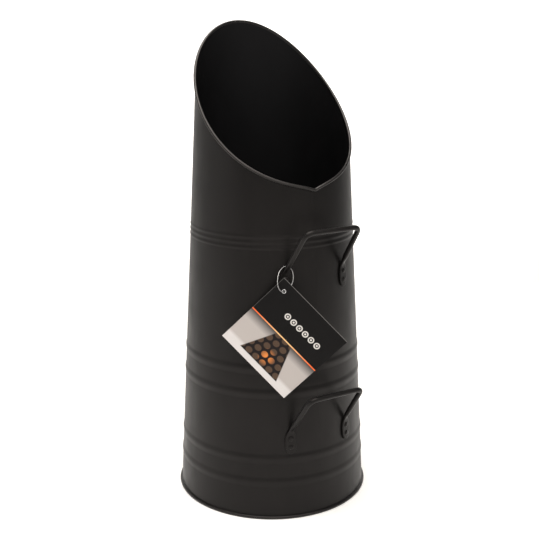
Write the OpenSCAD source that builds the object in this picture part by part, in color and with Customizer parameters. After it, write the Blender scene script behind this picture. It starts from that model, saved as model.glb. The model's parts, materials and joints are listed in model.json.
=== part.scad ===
// Tall coal hod: a tapered sheet-steel barrel with a slanted, rolled mouth,
// two riveted rod handles on its low side and a card tag hung on a wire loop.
// Millimetres, +Z up, the V of the mouth and the handles towards -Y,
// origin at the centre of the face that the hod stands on.

/* [Barrel] */
// Height over the rolled rim at its highest point
height = 507.5; // [460:0.5:560]
// Outer diameter of the barrel at the floor
base_d = 206; // [190:1:224]
// Outer diameter that the taper reaches at the full height
top_d = 150.9; // [136:0.1:164]
// Thickness of the sheet steel
sheet_t = 0.8; // [0.6:0.1:1.2]
// Width of the lapped seam under the V
lap_w = 9; // [6:0.5:14]

/* [Mouth] */
// Half of the rise that the slant gives the rim from front to back
mouth_slant = 91.8; // [70:0.2:100]
// Lift of the front of the rim above a flat slant
mouth_lift = 26.6; // [10:0.1:34]
// Turn of the slant away from the V, in degrees
mouth_skew = -2.7; // [-6:0.1:6]
// Depth of the V at the front of the rim
vee_depth = 5.2; // [3:0.1:12]
// Distance along the rim over which the V fades out
vee_w = 12.2; // [9:0.2:28]
// Outer diameter of the rolled rim
roll_d = 3.4; // [3.2:0.1:5]
// Distance of the roll's centre outside the wall
roll_out = 0.3; // [0.25:0.05:0.6]

/* [Swaged beads] */
// Distance from the V down to the top one of the three fine beads
fine_bead_drop = 45.1; // [20:0.1:60]
// Distance between the fine beads
fine_bead_pitch = 5.45; // [4.8:0.05:8]
// How far a fine bead stands out
fine_bead_h = 0.55; // [0.3:0.05:0.8]
// Height of the lower of the two middle beads
mid_bead_z = 137.3; // [110:0.5:150]
// Height of the lower of the two bottom beads
low_bead_z = 41; // [30:0.5:46]
// Distance between the two beads of a broad pair
bead_pitch = 25.8; // [22:0.2:32]
// How far a broad bead stands out
bead_h = 0.95; // [0.6:0.05:1.4]
// Height of a broad bead, top to bottom
bead_w = 10; // [8:0.2:16]

/* [Base] */
// Height of the base disc above the floor
pan_rise = 6; // [4.5:0.5:12]
// Height of the folded hem round the foot of the barrel
hem_h = 3.4; // [2.8:0.1:7]
// How far the hem stands out from the barrel
hem_out = 2.2; // [1.6:0.1:3.5]

/* [Handles] */
// Distance from the fine beads down to the upper handle's bends at the wall
upper_handle_drop = 23; // [12:0.2:40]
// Distance from the bottom beads up to the lower handle's feet
lower_handle_lift = 0.2; // [0:0.1:6]
// Diameter of the handle rod
rod_d = 5; // [4.4:0.1:6]
// Distance between the centres of a handle's two feet
foot_spread = 69.5; // [60:0.5:74]
// Length of a flattened foot
foot_len = 25; // [24:0.5:30]
// Width of a flattened foot
foot_w = 12.4; // [10:0.2:13.4]
// Thickness of a flattened foot
foot_t = 2; // [1.6:0.1:2.6]
// Length of the crossbar between the centres of its two corners
handle_w = 63.5; // [56:0.5:70]
// How far the crossbar stands out from the feet
handle_reach = 31.7; // [26:0.1:36]
// How far the crossbar stands above the bends at the wall
handle_rise = 43.2; // [38:0.2:48]
// Length that each corner's bend takes from the rod's straight runs
bend_l = 12; // [6:0.5:14]
// Turn of both handles round the barrel, away from the V, in degrees
handle_turn = 1.4; // [-4:0.1:4]

/* [Rivets] */
// Diameter of a rivet's shank
rivet_d = 3; // [2.4:0.1:3.6]
// Diameter of a rivet's head
rivet_head_d = 5.2; // [4.6:0.1:6]
// Height of a rivet's domed head
rivet_head_h = 1.1; // [0.8:0.1:1.6]
// Distance between the two rivets of a foot
rivet_pitch = 9.2; // [7.5:0.1:10]
// Distance from the bend at the wall down to the upper rivet
rivet_drop = 8.4; // [7:0.1:9.5]

/* [Tag] */
// Side of the square card
tag_side = 89.5; // [70:0.5:92]
// Thickness of the card
tag_t = 0.5; // [0.4:0.05:0.8]
// Angle between the card and the wall behind the handle's leg, in degrees
tag_twist = 18.8; // [10:0.2:24]
// Distance of the card's hole beside the handle's leg
hole_aside = 4.1; // [0:0.1:5]
// Distance from the card's upper corner to its hole
hole_inset = 14; // [11:0.5:18]
// Outer diameter of the eyelet's flange
eyelet_d = 4.3; // [4:0.1:5]
// Diameter of the hole through the eyelet
eyelet_bore = 2.7; // [2.5:0.1:3]
// Thickness of the eyelet's metal
eyelet_t = 0.3; // [0.2:0.05:0.35]
// Diameter of the loop's wire
loop_wire = 0.8; // [0.7:0.1:1.1]
// Width of the loop, between wire centres
loop_w = 17; // [15:0.2:20]
// Height of the loop, between wire centres
loop_h = 22.2; // [21:0.1:28]

/* [Clearances] */
// Gap between folded or riveted sheet parts
fit_gap = 0.15; // [0.1:0.01:0.2]
// Gap between a rivet's shank and its hole
rivet_gap = 0.1; // [0.05:0.01:0.15]
// Gap round the pieces that hang free
hang_gap = 0.3; // [0.25:0.05:0.4]

/* [Hidden] */
$fn = 96;
steel = [0.13, 0.13, 0.13];
bright = [0.78, 0.78, 0.8];
card = [0.09, 0.085, 0.09];

// Barrel
taper = (base_d - top_d) / 2 / height;
lean = atan(taper);
wall_foot = sheet_t + fit_gap;
pan_top = pan_rise + sheet_t;

// Mouth
rim_steps = 84;
rim_mid_z = height - roll_d / 2 - mouth_slant;
roll_in = roll_d / 2 - sheet_t;
roll_seat = roll_in - fit_gap;
wire_r = roll_in - 2 * fit_gap;
cutter_edge = 2 * sheet_t;
cutter_top = height + roll_d;

// Beads
bead_steps = 8;
fine_bead_w = fine_bead_pitch * 0.9;
fine_bead_z = rim_z(0) - fine_bead_drop - 2 * fine_bead_pitch;
broad_beads = [low_bead_z, low_bead_z + bead_pitch, mid_bead_z, mid_bead_z + bead_pitch];
fine_beads = [for (i = [0:2]) fine_bead_z + i * fine_bead_pitch];

// Handles
rod_r = rod_d / 2;
foot_n = fit_gap + foot_t / 2;
foot_tip = foot_w * 0.85;
foot_bend = 6;
rod_sides = 16;
head_n = foot_t + 2 * fit_gap;
upper_handle_z = fine_bead_z - upper_handle_drop;
lower_handle_z = low_bead_z + bead_pitch + bead_w / 2 + lower_handle_lift + foot_len;

// Tag
leg_side = foot_angle(upper_handle_z);
leg_angle = leg_side - handle_turn;
leg_out = handle_reach * cos(leg_side) - (foot_spread - handle_w) / 2 * sin(leg_side);
leg_lean = atan(leg_out / handle_rise) + lean;
loop_n = hang_gap + loop_wire / 2;
crotch_y = (rod_r + loop_n) / sin(leg_lean) + (loop_n - foot_n) / tan(leg_lean);
crotch_z = upper_handle_z + crotch_y * cos(lean);
crotch_out = wall_r(crotch_z) + loop_n;
hole_z = crotch_z - loop_h;
card_out = wall_r(mid_bead_z) + bead_h + hang_gap + tag_t / 2;
tag_turn = -leg_angle - tag_twist;
tag_shift = card_out * tan(tag_twist) - hole_aside;
eyelet_edge = tag_t / 2 + fit_gap / 2;
loop_steps = 48;
loop_sides = 8;
pass_through = eyelet_edge + eyelet_t + loop_n;
belly = 6.5;

// Ends of the loop's middle line, seen square to the handle's leg
loop_foot = turned(leg_angle + tag_turn, [tag_shift, -card_out, hole_z]);
loop_head = [0, -crotch_out, crotch_z];
loop_middle = turned(-leg_angle, (loop_foot + loop_head) / 2);

// A point part of the way from a to b
function mix(a, b, k) = a + (b - a) * k;
function unit(v) = v / norm(v);
function turned(a, p) = [p[0] * cos(a) - p[1] * sin(a), p[0] * sin(a) + p[1] * cos(a), p[2]];

// Outer radius of the plain tapered wall at a height
function wall_r(z) = base_d / 2 - taper * z;

// Point at x along, y up and n out from the wall, at an angle round it and a height
function wall_point(angle, z, x, y, n) = turned(angle, [
    x,
    -wall_r(z) + y * sin(lean) - n * cos(lean),
    z + y * cos(lean) + n * sin(lean)
]);

// Angle round the barrel of a foot whose bend is at a height
function foot_angle(z) = asin(foot_spread / 2 / (wall_r(z - foot_len / 2) + foot_n));

// Outline of one bead of half height w and relief h, as [stand-out, height] steps
function bead(z, w, h) = [
    for (i = [0:bead_steps]) let (u = 2 * i / bead_steps - 1)
        [wall_r(z + u * w) + h * pow(cos(90 * u), 2), z + u * w]
];

// The barrel's outer line between two heights, moved inwards by a depth
function wall_line(low, high, depth) = [
    for (p = concat(
        [[wall_r(low), low]],
        [for (z = broad_beads) each bead(z, bead_w / 2, bead_h)],
        [for (z = fine_beads) each bead(z, fine_bead_w / 2, fine_bead_h)],
        [[wall_r(high), high]]
    )) [p[0] - depth, p[1]]
];
function reversed(list) = [for (i = [len(list) - 1:-1:0]) list[i]];

// Height of the rim's centre line at an angle from the V
function rim_z(angle) = let (s = cos(angle - mouth_skew), off = min(angle, 360 - angle))
    rim_mid_z - mouth_slant * s + mouth_lift * pow((1 + s) / 2, 2)
    - vee_depth * exp(-off * PI / 180 * wall_r(rim_mid_z) / vee_w);
function rim_point(angle) = let (z = rim_z(angle), r = wall_r(z) + roll_out)
    [r * sin(angle), -r * cos(angle), z];

// Outward and upward directions square to the rim at one of its steps
function rim_angle(i) = 360 * i / rim_steps;
function rim_along(i) = unit(
    rim_point(rim_angle((i + 1) % rim_steps)) - rim_point(rim_angle((i + rim_steps - 1) % rim_steps))
);
function rim_out(i) = let (
    t = rim_along(i),
    n = turned(rim_angle(i), [0, -cos(lean), sin(lean)])
) unit(n - t * (n * t));
function rim_up(i) = cross(rim_out(i), rim_along(i));
function rim_ring(i, section) = let (c = rim_point(rim_angle(i)), u = rim_out(i), v = rim_up(i))
    [for (p = section) c + u * p[0] + v * p[1]];
function arc(r, from, to, steps) = [
    for (i = [0:steps]) let (a = mix(from, to, i / steps)) [r * cos(a), r * sin(a)]
];

// Faces of a tube of n rings with m points each, closed on itself or capped
function tube_faces(n, m, closed) = concat(
    [for (i = [0:(closed ? n : n - 1) - 1], j = [0:m - 1])
        let (a = i * m, b = ((i + 1) % n) * m, k = (j + 1) % m)
        each [[a + j, a + k, b + j], [b + j, a + k, b + k]]],
    closed ? [] : [[for (j = [m - 1:-1:0]) j], [for (j = [0:m - 1]) (n - 1) * m + j]]
);
function flat(rings) = [for (r = rings) each r];

module tube(rings, closed) {
    polyhedron(points = flat(rings), faces = tube_faces(len(rings), len(rings[0]), closed), convexity = 8);
}

// Places its children on the wall: X along it, Y up it, Z outwards
module on_wall(angle, z) {
    rotate([0, 0, angle]) translate([0, -wall_r(z), z]) rotate([90 - lean, 0, 0]) children();
}

// The space above the rim, with radial faces so that the wall's edge is cut square
module mouth_cutter() {
    tube([
        for (i = [0:rim_steps - 1]) let (
            e = rim_point(rim_angle(i)) - rim_up(i) * roll_in,
            r = norm([e[0], e[1]]),
            d = [e[0], e[1], 0] / r,
            inner = wall_r(cutter_top) - roll_d
        ) [
            d * (r - cutter_edge) + [0, 0, e[2]],
            d * (r + cutter_edge) + [0, 0, e[2]],
            d * (r + cutter_edge) + [0, 0, cutter_top],
            d * inner + [0, 0, cutter_top]
        ]
    ], true);
}

// Wall with its seven beads, the lap inside the seam and the holes for the rivets
module barrel() {
    lap_angle = 2 * asin(lap_w / 2 / wall_r(height / 2));
    lap_foot = pan_top + fit_gap;
    lap_top = rim_z(0) - roll_d / 2 - fit_gap;
    color(steel) difference() {
        union() {
            rotate_extrude() polygon(concat(
                wall_line(wall_foot, height, 0),
                reversed(wall_line(wall_foot, height, sheet_t))
            ));
            rotate([0, 0, -90 - lap_angle / 2]) rotate_extrude(angle = lap_angle) polygon(concat(
                wall_line(lap_foot, lap_top, sheet_t / 2),
                reversed(wall_line(lap_foot, lap_top, 2 * sheet_t))
            ));
        }
        mouth_cutter();
        for (z = [upper_handle_z, lower_handle_z], side = [-1, 1]) rivet_holes(side, z);
    }
}

// Tube that starts on the cut edge of the wall and curls outwards and down to it
module mouth_roll() {
    outer = roll_d / 2;
    near = roll_out - fit_gap;
    section = concat(
        arc(outer, -90 - asin(near / outer), 180 + asin(roll_seat / outer), 9),
        arc(roll_in, 180 + asin(roll_seat / roll_in), -90 - asin(near / roll_in), 7)
    );
    color(steel) tube([for (i = [0:rim_steps - 1]) rim_ring(i, section)], true);
}

// Wire that stiffens the rolled rim
module mouth_wire() {
    section = [for (j = [0:7]) [wire_r * cos(j * 45), wire_r * sin(j * 45)]];
    color(bright) tube([for (i = [0:rim_steps - 1]) rim_ring(i, section)], true);
}

// Raised base disc with a skirt and a hem folded round the foot of the wall
module base_pan() {
    out_foot = base_d / 2 + hem_out;
    seat = wall_foot - fit_gap;
    skirt = wall_r(pan_top) - sheet_t - fit_gap;
    round_r = min(hem_out * 0.7, hem_h * 0.45);
    bead_in = wall_r(0) + fit_gap;
    color(steel) rotate_extrude() polygon(concat(
        [[0, pan_rise], [skirt - sheet_t, pan_rise], [skirt - sheet_t, 0]],
        [for (a = [-90:15:0]) [out_foot - round_r + round_r * cos(a), round_r + round_r * sin(a)]],
        [for (a = [0:15:90]) [out_foot - round_r + round_r * cos(a), hem_h - round_r + round_r * sin(a)]],
        [[bead_in, hem_h], [bead_in, seat], [skirt, seat], [skirt, pan_top], [0, pan_top]]
    ));
}

// Half width of the flattened rod at a distance from its tip
function foot_half(s) = s < foot_tip
    ? foot_w / 2 * sqrt(1 - pow(1 - s / foot_tip, 2))
    : mix(rod_r, foot_w / 2, 1 - pow(min(1, (s - foot_tip) / (foot_len - foot_tip)), 3));

// Share of flattening: 1 on the foot, 0 on the round rod
function flatness(s) = max(0, min(1, 1 - (s - foot_len + foot_bend / 2) / (2 * foot_bend)));

// Section of the rod, from round to a flat bar with soft edges
function rod_section(s) = [
    for (j = [0:rod_sides - 1]) let (
        c = cos(360 * j / rod_sides),
        d = sin(360 * j / rod_sides),
        k = flatness(s),
        across = max(-1, min(1, 1.25 * c)),
        through = max(-1, min(1, 2.4 * d))
    ) [
        mix(rod_r * c, foot_half(s) * across, k),
        mix(rod_r * d, foot_t / 2 * through, k)
    ]
];

// Points of a soft bend at b, between a and c, that takes a length from each run
function soft_bend(a, b, c, l, steps) = [
    for (i = [0:steps]) let (
        k = i / steps,
        p = b + unit(a - b) * l,
        q = b + unit(c - b) * l
    ) mix(mix(p, b, k), mix(b, q, k), k)
];

// Distance from the start of a path to one of its points
function travelled(path, i) = i == 0 ? norm(path[1] - path[0]) * 0.1
    : travelled(path, i - 1) + norm(path[i] - path[i - 1]);

// Directions square to the path, carried along it without twist
function carried(t, u, i = 0) = i >= len(t) ? []
    : let (v = unit(u - t[i] * (u * t[i]))) concat([v], carried(t, v, i + 1));

// One bent rod: two flattened feet on the wall, two legs and a crossbar
module handle(z) {
    angle = foot_angle(z);
    tip = wall_point(angle, z, 0, -foot_len, foot_n);
    knee = wall_point(angle, z, 0, 0, foot_n);
    corner = [handle_w / 2, knee[1] - handle_reach, knee[2] + handle_rise];
    middle = [0, corner[1], corner[2]];
    foot_steps = 9;
    path = concat(
        [for (i = [0:foot_steps - 1])
            mix(tip, knee, max(0.012, 1 - cos(90 * i / foot_steps)) * (1 - foot_bend / foot_len))],
        soft_bend(tip, knee, corner, foot_bend, 5),
        [knee + unit(corner - knee) * (foot_bend + rod_d)],
        soft_bend(knee, corner, middle, bend_l, 7),
        [middle]
    );
    last = len(path) - 1;
    along = [for (i = [0:last]) unit(path[min(i + 1, last)] - path[i == last ? last - 1 : max(i - 1, 0)])];
    across = carried(along, turned(angle, [1, 0, 0]));
    half = [
        for (i = [0:last]) let (
            w = cross(along[i], across[i])
        ) [for (p = rod_section(travelled(path, i))) path[i] + across[i] * p[0] + w * p[1]]
    ];
    far = [for (i = [last - 1:-1:0]) [for (p = half[i]) [-p[0], p[1], p[2]]]];
    color(steel) difference() {
        rotate([0, 0, handle_turn]) tube(concat(half, far), false);
        for (side = [-1, 1]) rivet_holes(side, z);
    }
}

// Places of the two rivets of one foot
module at_rivets(side, z) {
    on_wall(side * foot_angle(z) + handle_turn, z)
        for (i = [0, 1]) translate([0, -rivet_drop - i * rivet_pitch, 0]) children();
}

module rivet_holes(side, z) {
    at_rivets(side, z) translate([0, 0, -3 * sheet_t])
        cylinder(r = rivet_d / 2 + rivet_gap, h = 3 * sheet_t + head_n + foot_t);
}

// Two rivets: a dome outside the foot, a shank, and a flat head closed inside the wall
module rivets(side, z) {
    head_r = rivet_head_d / 2;
    tail_n = -sheet_t - fit_gap;
    tail_h = rivet_head_h * 0.7;
    color(steel) at_rivets(side, z) rotate_extrude() polygon(concat(
        [[0, tail_n - tail_h], [head_r * 0.9, tail_n - tail_h], [head_r * 0.9, tail_n],
            [rivet_d / 2, tail_n], [rivet_d / 2, head_n]],
        [for (a = [0:15:90]) [head_r * cos(a), head_n + rivet_head_h * sin(a)]]
    ));
}

module upper_handle() { handle(upper_handle_z); }
module lower_handle() { handle(lower_handle_z); }
module upper_left_rivets() { rivets(-1, upper_handle_z); }
module upper_right_rivets() { rivets(1, upper_handle_z); }
module lower_left_rivets() { rivets(-1, lower_handle_z); }
module lower_right_rivets() { rivets(1, lower_handle_z); }

// Places its children at the card's hole: X along the card, Y up it, Z outwards
module on_tag() {
    rotate([0, 0, tag_turn]) translate([tag_shift, -card_out, hole_z]) rotate([90, 0, 0]) children();
}

// Square card that hangs by one corner
module tag_card() {
    half = tag_side / sqrt(2);
    top = hole_inset;
    color(card) on_tag() translate([0, 0, -tag_t / 2]) linear_extrude(tag_t) difference() {
        polygon([[0, top], [half, top - half], [0, top - 2 * half], [-half, top - half]]);
        circle(r = eyelet_bore / 2 + eyelet_t + fit_gap / 2);
    }
}

// Metal eyelet clenched through the card
module tag_eyelet() {
    bore = eyelet_bore / 2;
    edge = eyelet_edge;
    color(bright) on_tag() rotate_extrude() polygon([
        [bore, -edge - eyelet_t], [eyelet_d / 2, -edge - eyelet_t], [eyelet_d / 2, -edge],
        [bore + eyelet_t, -edge], [bore + eyelet_t, edge], [eyelet_d / 2, edge],
        [eyelet_d / 2, edge + eyelet_t], [bore, edge + eyelet_t]
    ]);
}

// Centre line of the loop: down in front of the card, through the eyelet and up behind it
function loop_point(a) = let (
    side = -loop_w / 2 * sin(a),
    fade = abs(cos(a / 2)),
    through = pass_through * -side / sqrt(side * side + 0.25),
    lift = through + max(0, belly * sin(a)),
    centre = mix(loop_foot, loop_head, (1 - cos(a)) / 2)
) turned(-leg_angle, centre + [side, -fade * lift, 0]);

// Steps are close together where the wire passes through the eyelet
function loop_angle(i) = let (a = 360 * i / loop_steps) a - 20 * sin(a);

// Wire loop round the upper handle's left leg and through the card's eyelet
module tag_loop() {
    path = [for (i = [0:loop_steps - 1]) loop_point(loop_angle(i))];
    wire = loop_wire / 2;
    color(bright) tube([
        for (i = [0:loop_steps - 1]) let (
            t = unit(path[(i + 1) % loop_steps] - path[(i + loop_steps - 1) % loop_steps]),
            u = unit(cross(t, cross(path[i] - loop_middle, t))),
            v = cross(t, u)
        ) [for (j = [0:loop_sides - 1]) let (b = 360 * j / loop_sides)
            path[i] + (u * cos(b) + v * sin(b)) * wire]
    ], true);
}

barrel();
mouth_roll();
mouth_wire();
base_pan();
upper_handle();
lower_handle();
upper_left_rivets();
upper_right_rivets();
lower_left_rivets();
lower_right_rivets();
tag_card();
tag_eyelet();
tag_loop();
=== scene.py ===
"""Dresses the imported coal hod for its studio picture.

The hod is a tall tapered barrel of black sheet steel with a slanted mouth, a rolled rim that
dips to a V, swaged beads, a hemmed foot and two rod handles riveted to its low side. A card
tag hangs by one corner from a silver loop round the upper handle's left leg.

Each sub-assembly is a class that holds its sizes in metres and builds its own meshes over the
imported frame's nodes. Angles round the barrel are counted from the V, anticlockwise from above.
"""

from __future__ import annotations

import json
import logging
import math
from dataclasses import dataclass
from enum import Enum
from typing import Any, Sequence

import bpy
from mathutils import Matrix, Vector

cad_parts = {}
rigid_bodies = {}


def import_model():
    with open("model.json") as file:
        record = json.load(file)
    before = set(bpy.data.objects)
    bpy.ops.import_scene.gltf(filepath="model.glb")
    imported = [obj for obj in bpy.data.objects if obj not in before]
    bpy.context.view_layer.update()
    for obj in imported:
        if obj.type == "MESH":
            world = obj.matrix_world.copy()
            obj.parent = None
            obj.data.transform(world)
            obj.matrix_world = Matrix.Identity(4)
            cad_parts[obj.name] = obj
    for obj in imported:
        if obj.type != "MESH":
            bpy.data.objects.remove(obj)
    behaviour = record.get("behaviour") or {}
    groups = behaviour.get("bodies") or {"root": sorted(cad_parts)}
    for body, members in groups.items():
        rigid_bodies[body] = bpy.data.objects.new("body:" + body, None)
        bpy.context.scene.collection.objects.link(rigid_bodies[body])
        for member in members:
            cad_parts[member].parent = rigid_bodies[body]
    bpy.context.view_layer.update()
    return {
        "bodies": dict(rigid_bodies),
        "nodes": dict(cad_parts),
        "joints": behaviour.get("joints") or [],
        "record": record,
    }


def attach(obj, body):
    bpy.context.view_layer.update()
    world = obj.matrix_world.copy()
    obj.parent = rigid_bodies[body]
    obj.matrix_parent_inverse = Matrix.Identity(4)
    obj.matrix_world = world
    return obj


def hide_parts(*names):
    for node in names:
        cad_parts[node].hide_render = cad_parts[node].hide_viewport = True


log = logging.getLogger("hod")

MM = 0.001
TURN = 2 * math.pi
TINY = 1e-6
Socket = bpy.types.NodeSocket
Triple = tuple[float, float, float]
Faces = list[tuple[int, ...]]


class Body(Enum):
    """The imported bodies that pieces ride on."""

    HOD = "hod"
    LOOP = "loop"
    TAG = "tag"


class Slot(Enum):
    """The record's material slots, passed along with each piece."""

    STEEL = "black_steel"
    CARD = "card"
    EYELET = "eyelet"
    WIRE = "loop_wire"


class Side(Enum):
    """The two feet of a handle, seen from the handles' side."""

    LEFT = -1
    RIGHT = 1


class Kind(Enum):
    """The kinds of a tree's named inputs."""

    FLOAT = "NodeSocketFloat"
    INT = "NodeSocketInt"
    OBJECT = "NodeSocketObject"
    MATERIAL = "NodeSocketMaterial"


# Node trees


class Output:
    """One output of a node. The usual signs between outputs and numbers add Math nodes."""

    def __init__(self, graph: NodeGraph, socket: Socket) -> None:
        """Keeps a node's output and the graph that further nodes go into."""
        self.graph = graph
        self.socket = socket

    def __add__(self, other: Output | float) -> Output:
        """The sum of this and another value."""
        return self.graph.math("ADD", self, other)

    def __sub__(self, other: Output | float) -> Output:
        """This less another value."""
        return self.graph.math("SUBTRACT", self, other)

    def __rsub__(self, other: float) -> Output:
        """A number less this."""
        return self.graph.math("SUBTRACT", other, self)

    def __mul__(self, other: Output | float) -> Output:
        """The product of this and another value."""
        return self.graph.math("MULTIPLY", self, other)

    def __truediv__(self, other: Output | float) -> Output:
        """This divided by another value."""
        return self.graph.math("DIVIDE", self, other)

    def __gt__(self, other: Output | float) -> Output:
        """1 where this is greater than another value, otherwise 0."""
        return self.graph.math("GREATER_THAN", self, other)

    def __lt__(self, other: Output | float) -> Output:
        """1 where this is less than another value, otherwise 0."""
        return self.graph.math("LESS_THAN", self, other)

    def __abs__(self) -> Output:
        """The value without its sign."""
        return self.graph.math("ABSOLUTE", self)


class NodeGraph:
    """Adds nodes to a node tree and joins them."""

    def __init__(self, tree: bpy.types.NodeTree) -> None:
        """Keeps the empty Geometry Nodes or shader tree that the nodes go into."""
        self.tree = tree

    def feed(self, socket: Socket, value: Any) -> None:
        """Links a socket to an output, or sets its own value.

        Args:
            socket: The input to fill.
            value: Another node's output, or a plain value.
        """
        if isinstance(value, Output):
            self.tree.links.new(value.socket, socket)
        else:
            socket.default_value = value

    def add(self, kind: str, inputs: dict[Any, Any] | None = None, **settings: Any) -> bpy.types.Node:
        """Adds one node.

        Args:
            kind: Blender's name of the node type.
            inputs: Values or outputs by input name or index.
            settings: The node's own properties.

        Returns:
            The new node.
        """
        node = self.tree.nodes.new(kind)
        for name, value in settings.items():
            setattr(node, name, value)
        for key, value in (inputs or {}).items():
            self.feed(node.inputs[key], value)
        return node

    def result(
        self, kind: str, inputs: dict[Any, Any] | None = None, output: int | str = 0, **settings: Any
    ) -> Output:
        """Adds one node, as add does, and takes one of its outputs by name or index."""
        return Output(self, self.add(kind, inputs, **settings).outputs[output])

    def math(self, operation: str, *values: Output | float, clamp: bool = False) -> Output:
        """Adds a Math node with its operands; a clamp keeps the result between 0 and 1."""
        return self.result("ShaderNodeMath", dict(enumerate(values)), operation=operation, use_clamp=clamp)

    def length(self, x: Output, y: Output) -> Output:
        """The length of a flat vector."""
        return self.math("SQRT", x * x + y * y)

    def split(self, vector: Output) -> tuple[Output, ...]:
        """Takes a vector apart into x, y and z."""
        return tuple(Output(self, part) for part in self.add("ShaderNodeSeparateXYZ", {0: vector}).outputs)

    def join(self, x: Output | float, y: Output | float, z: Output | float) -> Output:
        """Makes a vector of x, y and z."""
        return self.result("ShaderNodeCombineXYZ", {0: x, 1: y, 2: z})


class GeometryTree(NodeGraph):
    """A Geometry Nodes tree with named inputs, ending in Realize Instances and Set Material."""

    fold = math.radians(40)

    def __init__(self, name: str) -> None:
        """Makes an empty tree.

        Args:
            name: The tree's name.
        """
        super().__init__(bpy.data.node_groups.new(name, "GeometryNodeTree"))
        self.tree.interface.new_socket(name="Geometry", in_out="INPUT", socket_type="NodeSocketGeometry")
        self.source = self.tree.nodes.new("NodeGroupInput")
        self.identifiers: dict[str, str] = {}

    def size(self, name: str, kind: Kind = Kind.FLOAT) -> Output:
        """Adds a named input.

        Args:
            name: The input's name.
            kind: What it holds.

        Returns:
            The input as an output of the group's input node.
        """
        made = self.tree.interface.new_socket(name=name, in_out="INPUT", socket_type=kind.value)
        self.identifiers[name] = made.identifier
        return Output(self, self.source.outputs[name])

    @property
    def geometry(self) -> Output:
        """The mesh that comes into the tree."""
        return Output(self, self.source.outputs["Geometry"])

    def position(self) -> Output:
        """The place of each point."""
        return self.result("GeometryNodeInputPosition")

    def end(
        self, geometry: Output, material: Output, lining: Output | None = None, within: Output | None = None
    ) -> None:
        """Shades the geometry, realizes its instances, sets its materials and closes the tree.

        Args:
            geometry: The finished geometry.
            material: The material for all of it.
            lining: A second material for part of it.
            within: Where the second material goes.
        """
        self.tree.interface.new_socket(name="Geometry", in_out="OUTPUT", socket_type="NodeSocketGeometry")
        smooth = self.result("GeometryNodeSetShadeSmooth", {"Geometry": geometry})
        folds = self.result("GeometryNodeInputMeshEdgeAngle") > self.fold
        crisp = self.result(
            "GeometryNodeSetShadeSmooth",
            {"Geometry": smooth, "Selection": folds, "Shade Smooth": False},
            domain="EDGE",
        )
        last = self.result("GeometryNodeRealizeInstances", {"Geometry": crisp})
        last = self.result("GeometryNodeSetMaterial", {"Geometry": last, "Material": material})
        if lining is not None:
            chosen = {"Geometry": last, "Material": lining, "Selection": within}
            last = self.result("GeometryNodeSetMaterial", chosen)
        self.feed(self.tree.nodes.new("NodeGroupOutput").inputs[0], last)

    def run(self, name: str, base: bpy.types.Mesh, values: dict[str, Any]) -> bpy.types.Object:
        """Runs the tree on a mesh and keeps the result as a plain mesh.

        Args:
            name: The new piece's name.
            base: The mesh that goes in.
            values: The tree's inputs by name.

        Returns:
            A new object at the origin with the resulting mesh.
        """
        carrier = piece_from(f"{name}_base", base)
        modifier = carrier.modifiers.new("rule", "NODES")
        modifier.node_group = self.tree
        for key, value in values.items():
            modifier[self.identifiers[key]] = value
        graph = bpy.context.evaluated_depsgraph_get()
        mesh = bpy.data.meshes.new_from_object(carrier.evaluated_get(graph), depsgraph=graph)
        mesh.name = name
        carrier.modifiers.clear()
        bpy.data.objects.remove(carrier)
        return piece_from(name, mesh)


# Meshes


def piece_from(name: str, mesh: bpy.types.Mesh) -> bpy.types.Object:
    """Links a mesh into the scene as an object at the origin.

    Args:
        name: The object's name.
        mesh: Its mesh.

    Returns:
        The new object.
    """
    made = bpy.data.objects.new(name, mesh)
    bpy.context.scene.collection.objects.link(made)
    return made


def mesh_from(
    name: str,
    points: Sequence[Sequence[float]],
    faces: Sequence[Sequence[int]] = (),
    edges: Sequence[Sequence[int]] = (),
) -> bpy.types.Mesh:
    """Makes a mesh from lists.

    Args:
        name: The mesh's name.
        points: Vertex positions.
        faces: Loops of vertex indices.
        edges: Pairs of vertex indices.

    Returns:
        The new mesh.
    """
    mesh = bpy.data.meshes.new(name)
    mesh.from_pydata([tuple(p) for p in points], list(edges), list(faces))
    mesh.update()
    return mesh


def smooth_between(mesh: bpy.types.Mesh, angle: float) -> None:
    """Shades a mesh smooth except at edges sharper than an angle."""
    mesh.polygons.foreach_set("use_smooth", [True] * len(mesh.polygons))
    mesh.set_sharp_from_angle(angle=angle)


def skin(count: int, size: int, first: int = 0, closed: bool = False, flipped: bool = False) -> Faces:
    """Faces between rings of equal length.

    Args:
        count: The number of rings.
        size: The number of points in each ring.
        first: The number of the first ring's first point.
        closed: Whether the last ring joins the first.
        flipped: Whether the faces look the other way.

    Returns:
        Loops of four point numbers, ring by ring.
    """
    faces: Faces = []
    for i in range(count if closed else count - 1):
        a, b = first + i * size, first + (i + 1) % count * size
        for j in range(size):
            k = (j + 1) % size
            faces.append((a + j, b + j, b + k, a + k) if flipped else (a + j, a + k, b + k, b + j))
    return faces


def loft(rings: Sequence[Sequence[Vector]], closed: bool) -> tuple[list[Vector], Faces]:
    """Joins rings of equal length into a tube.

    Args:
        rings: The rings, in order along the tube.
        closed: Whether the last ring joins the first; otherwise both ends are capped.

    Returns:
        The points and the faces.
    """
    count, size = len(rings), len(rings[0])
    faces = skin(count, size, closed=closed)
    if not closed:
        faces.append(tuple(range(size - 1, -1, -1)))
        faces.append(tuple(range((count - 1) * size, count * size)))
    return [p for ring in rings for p in ring], faces


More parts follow.
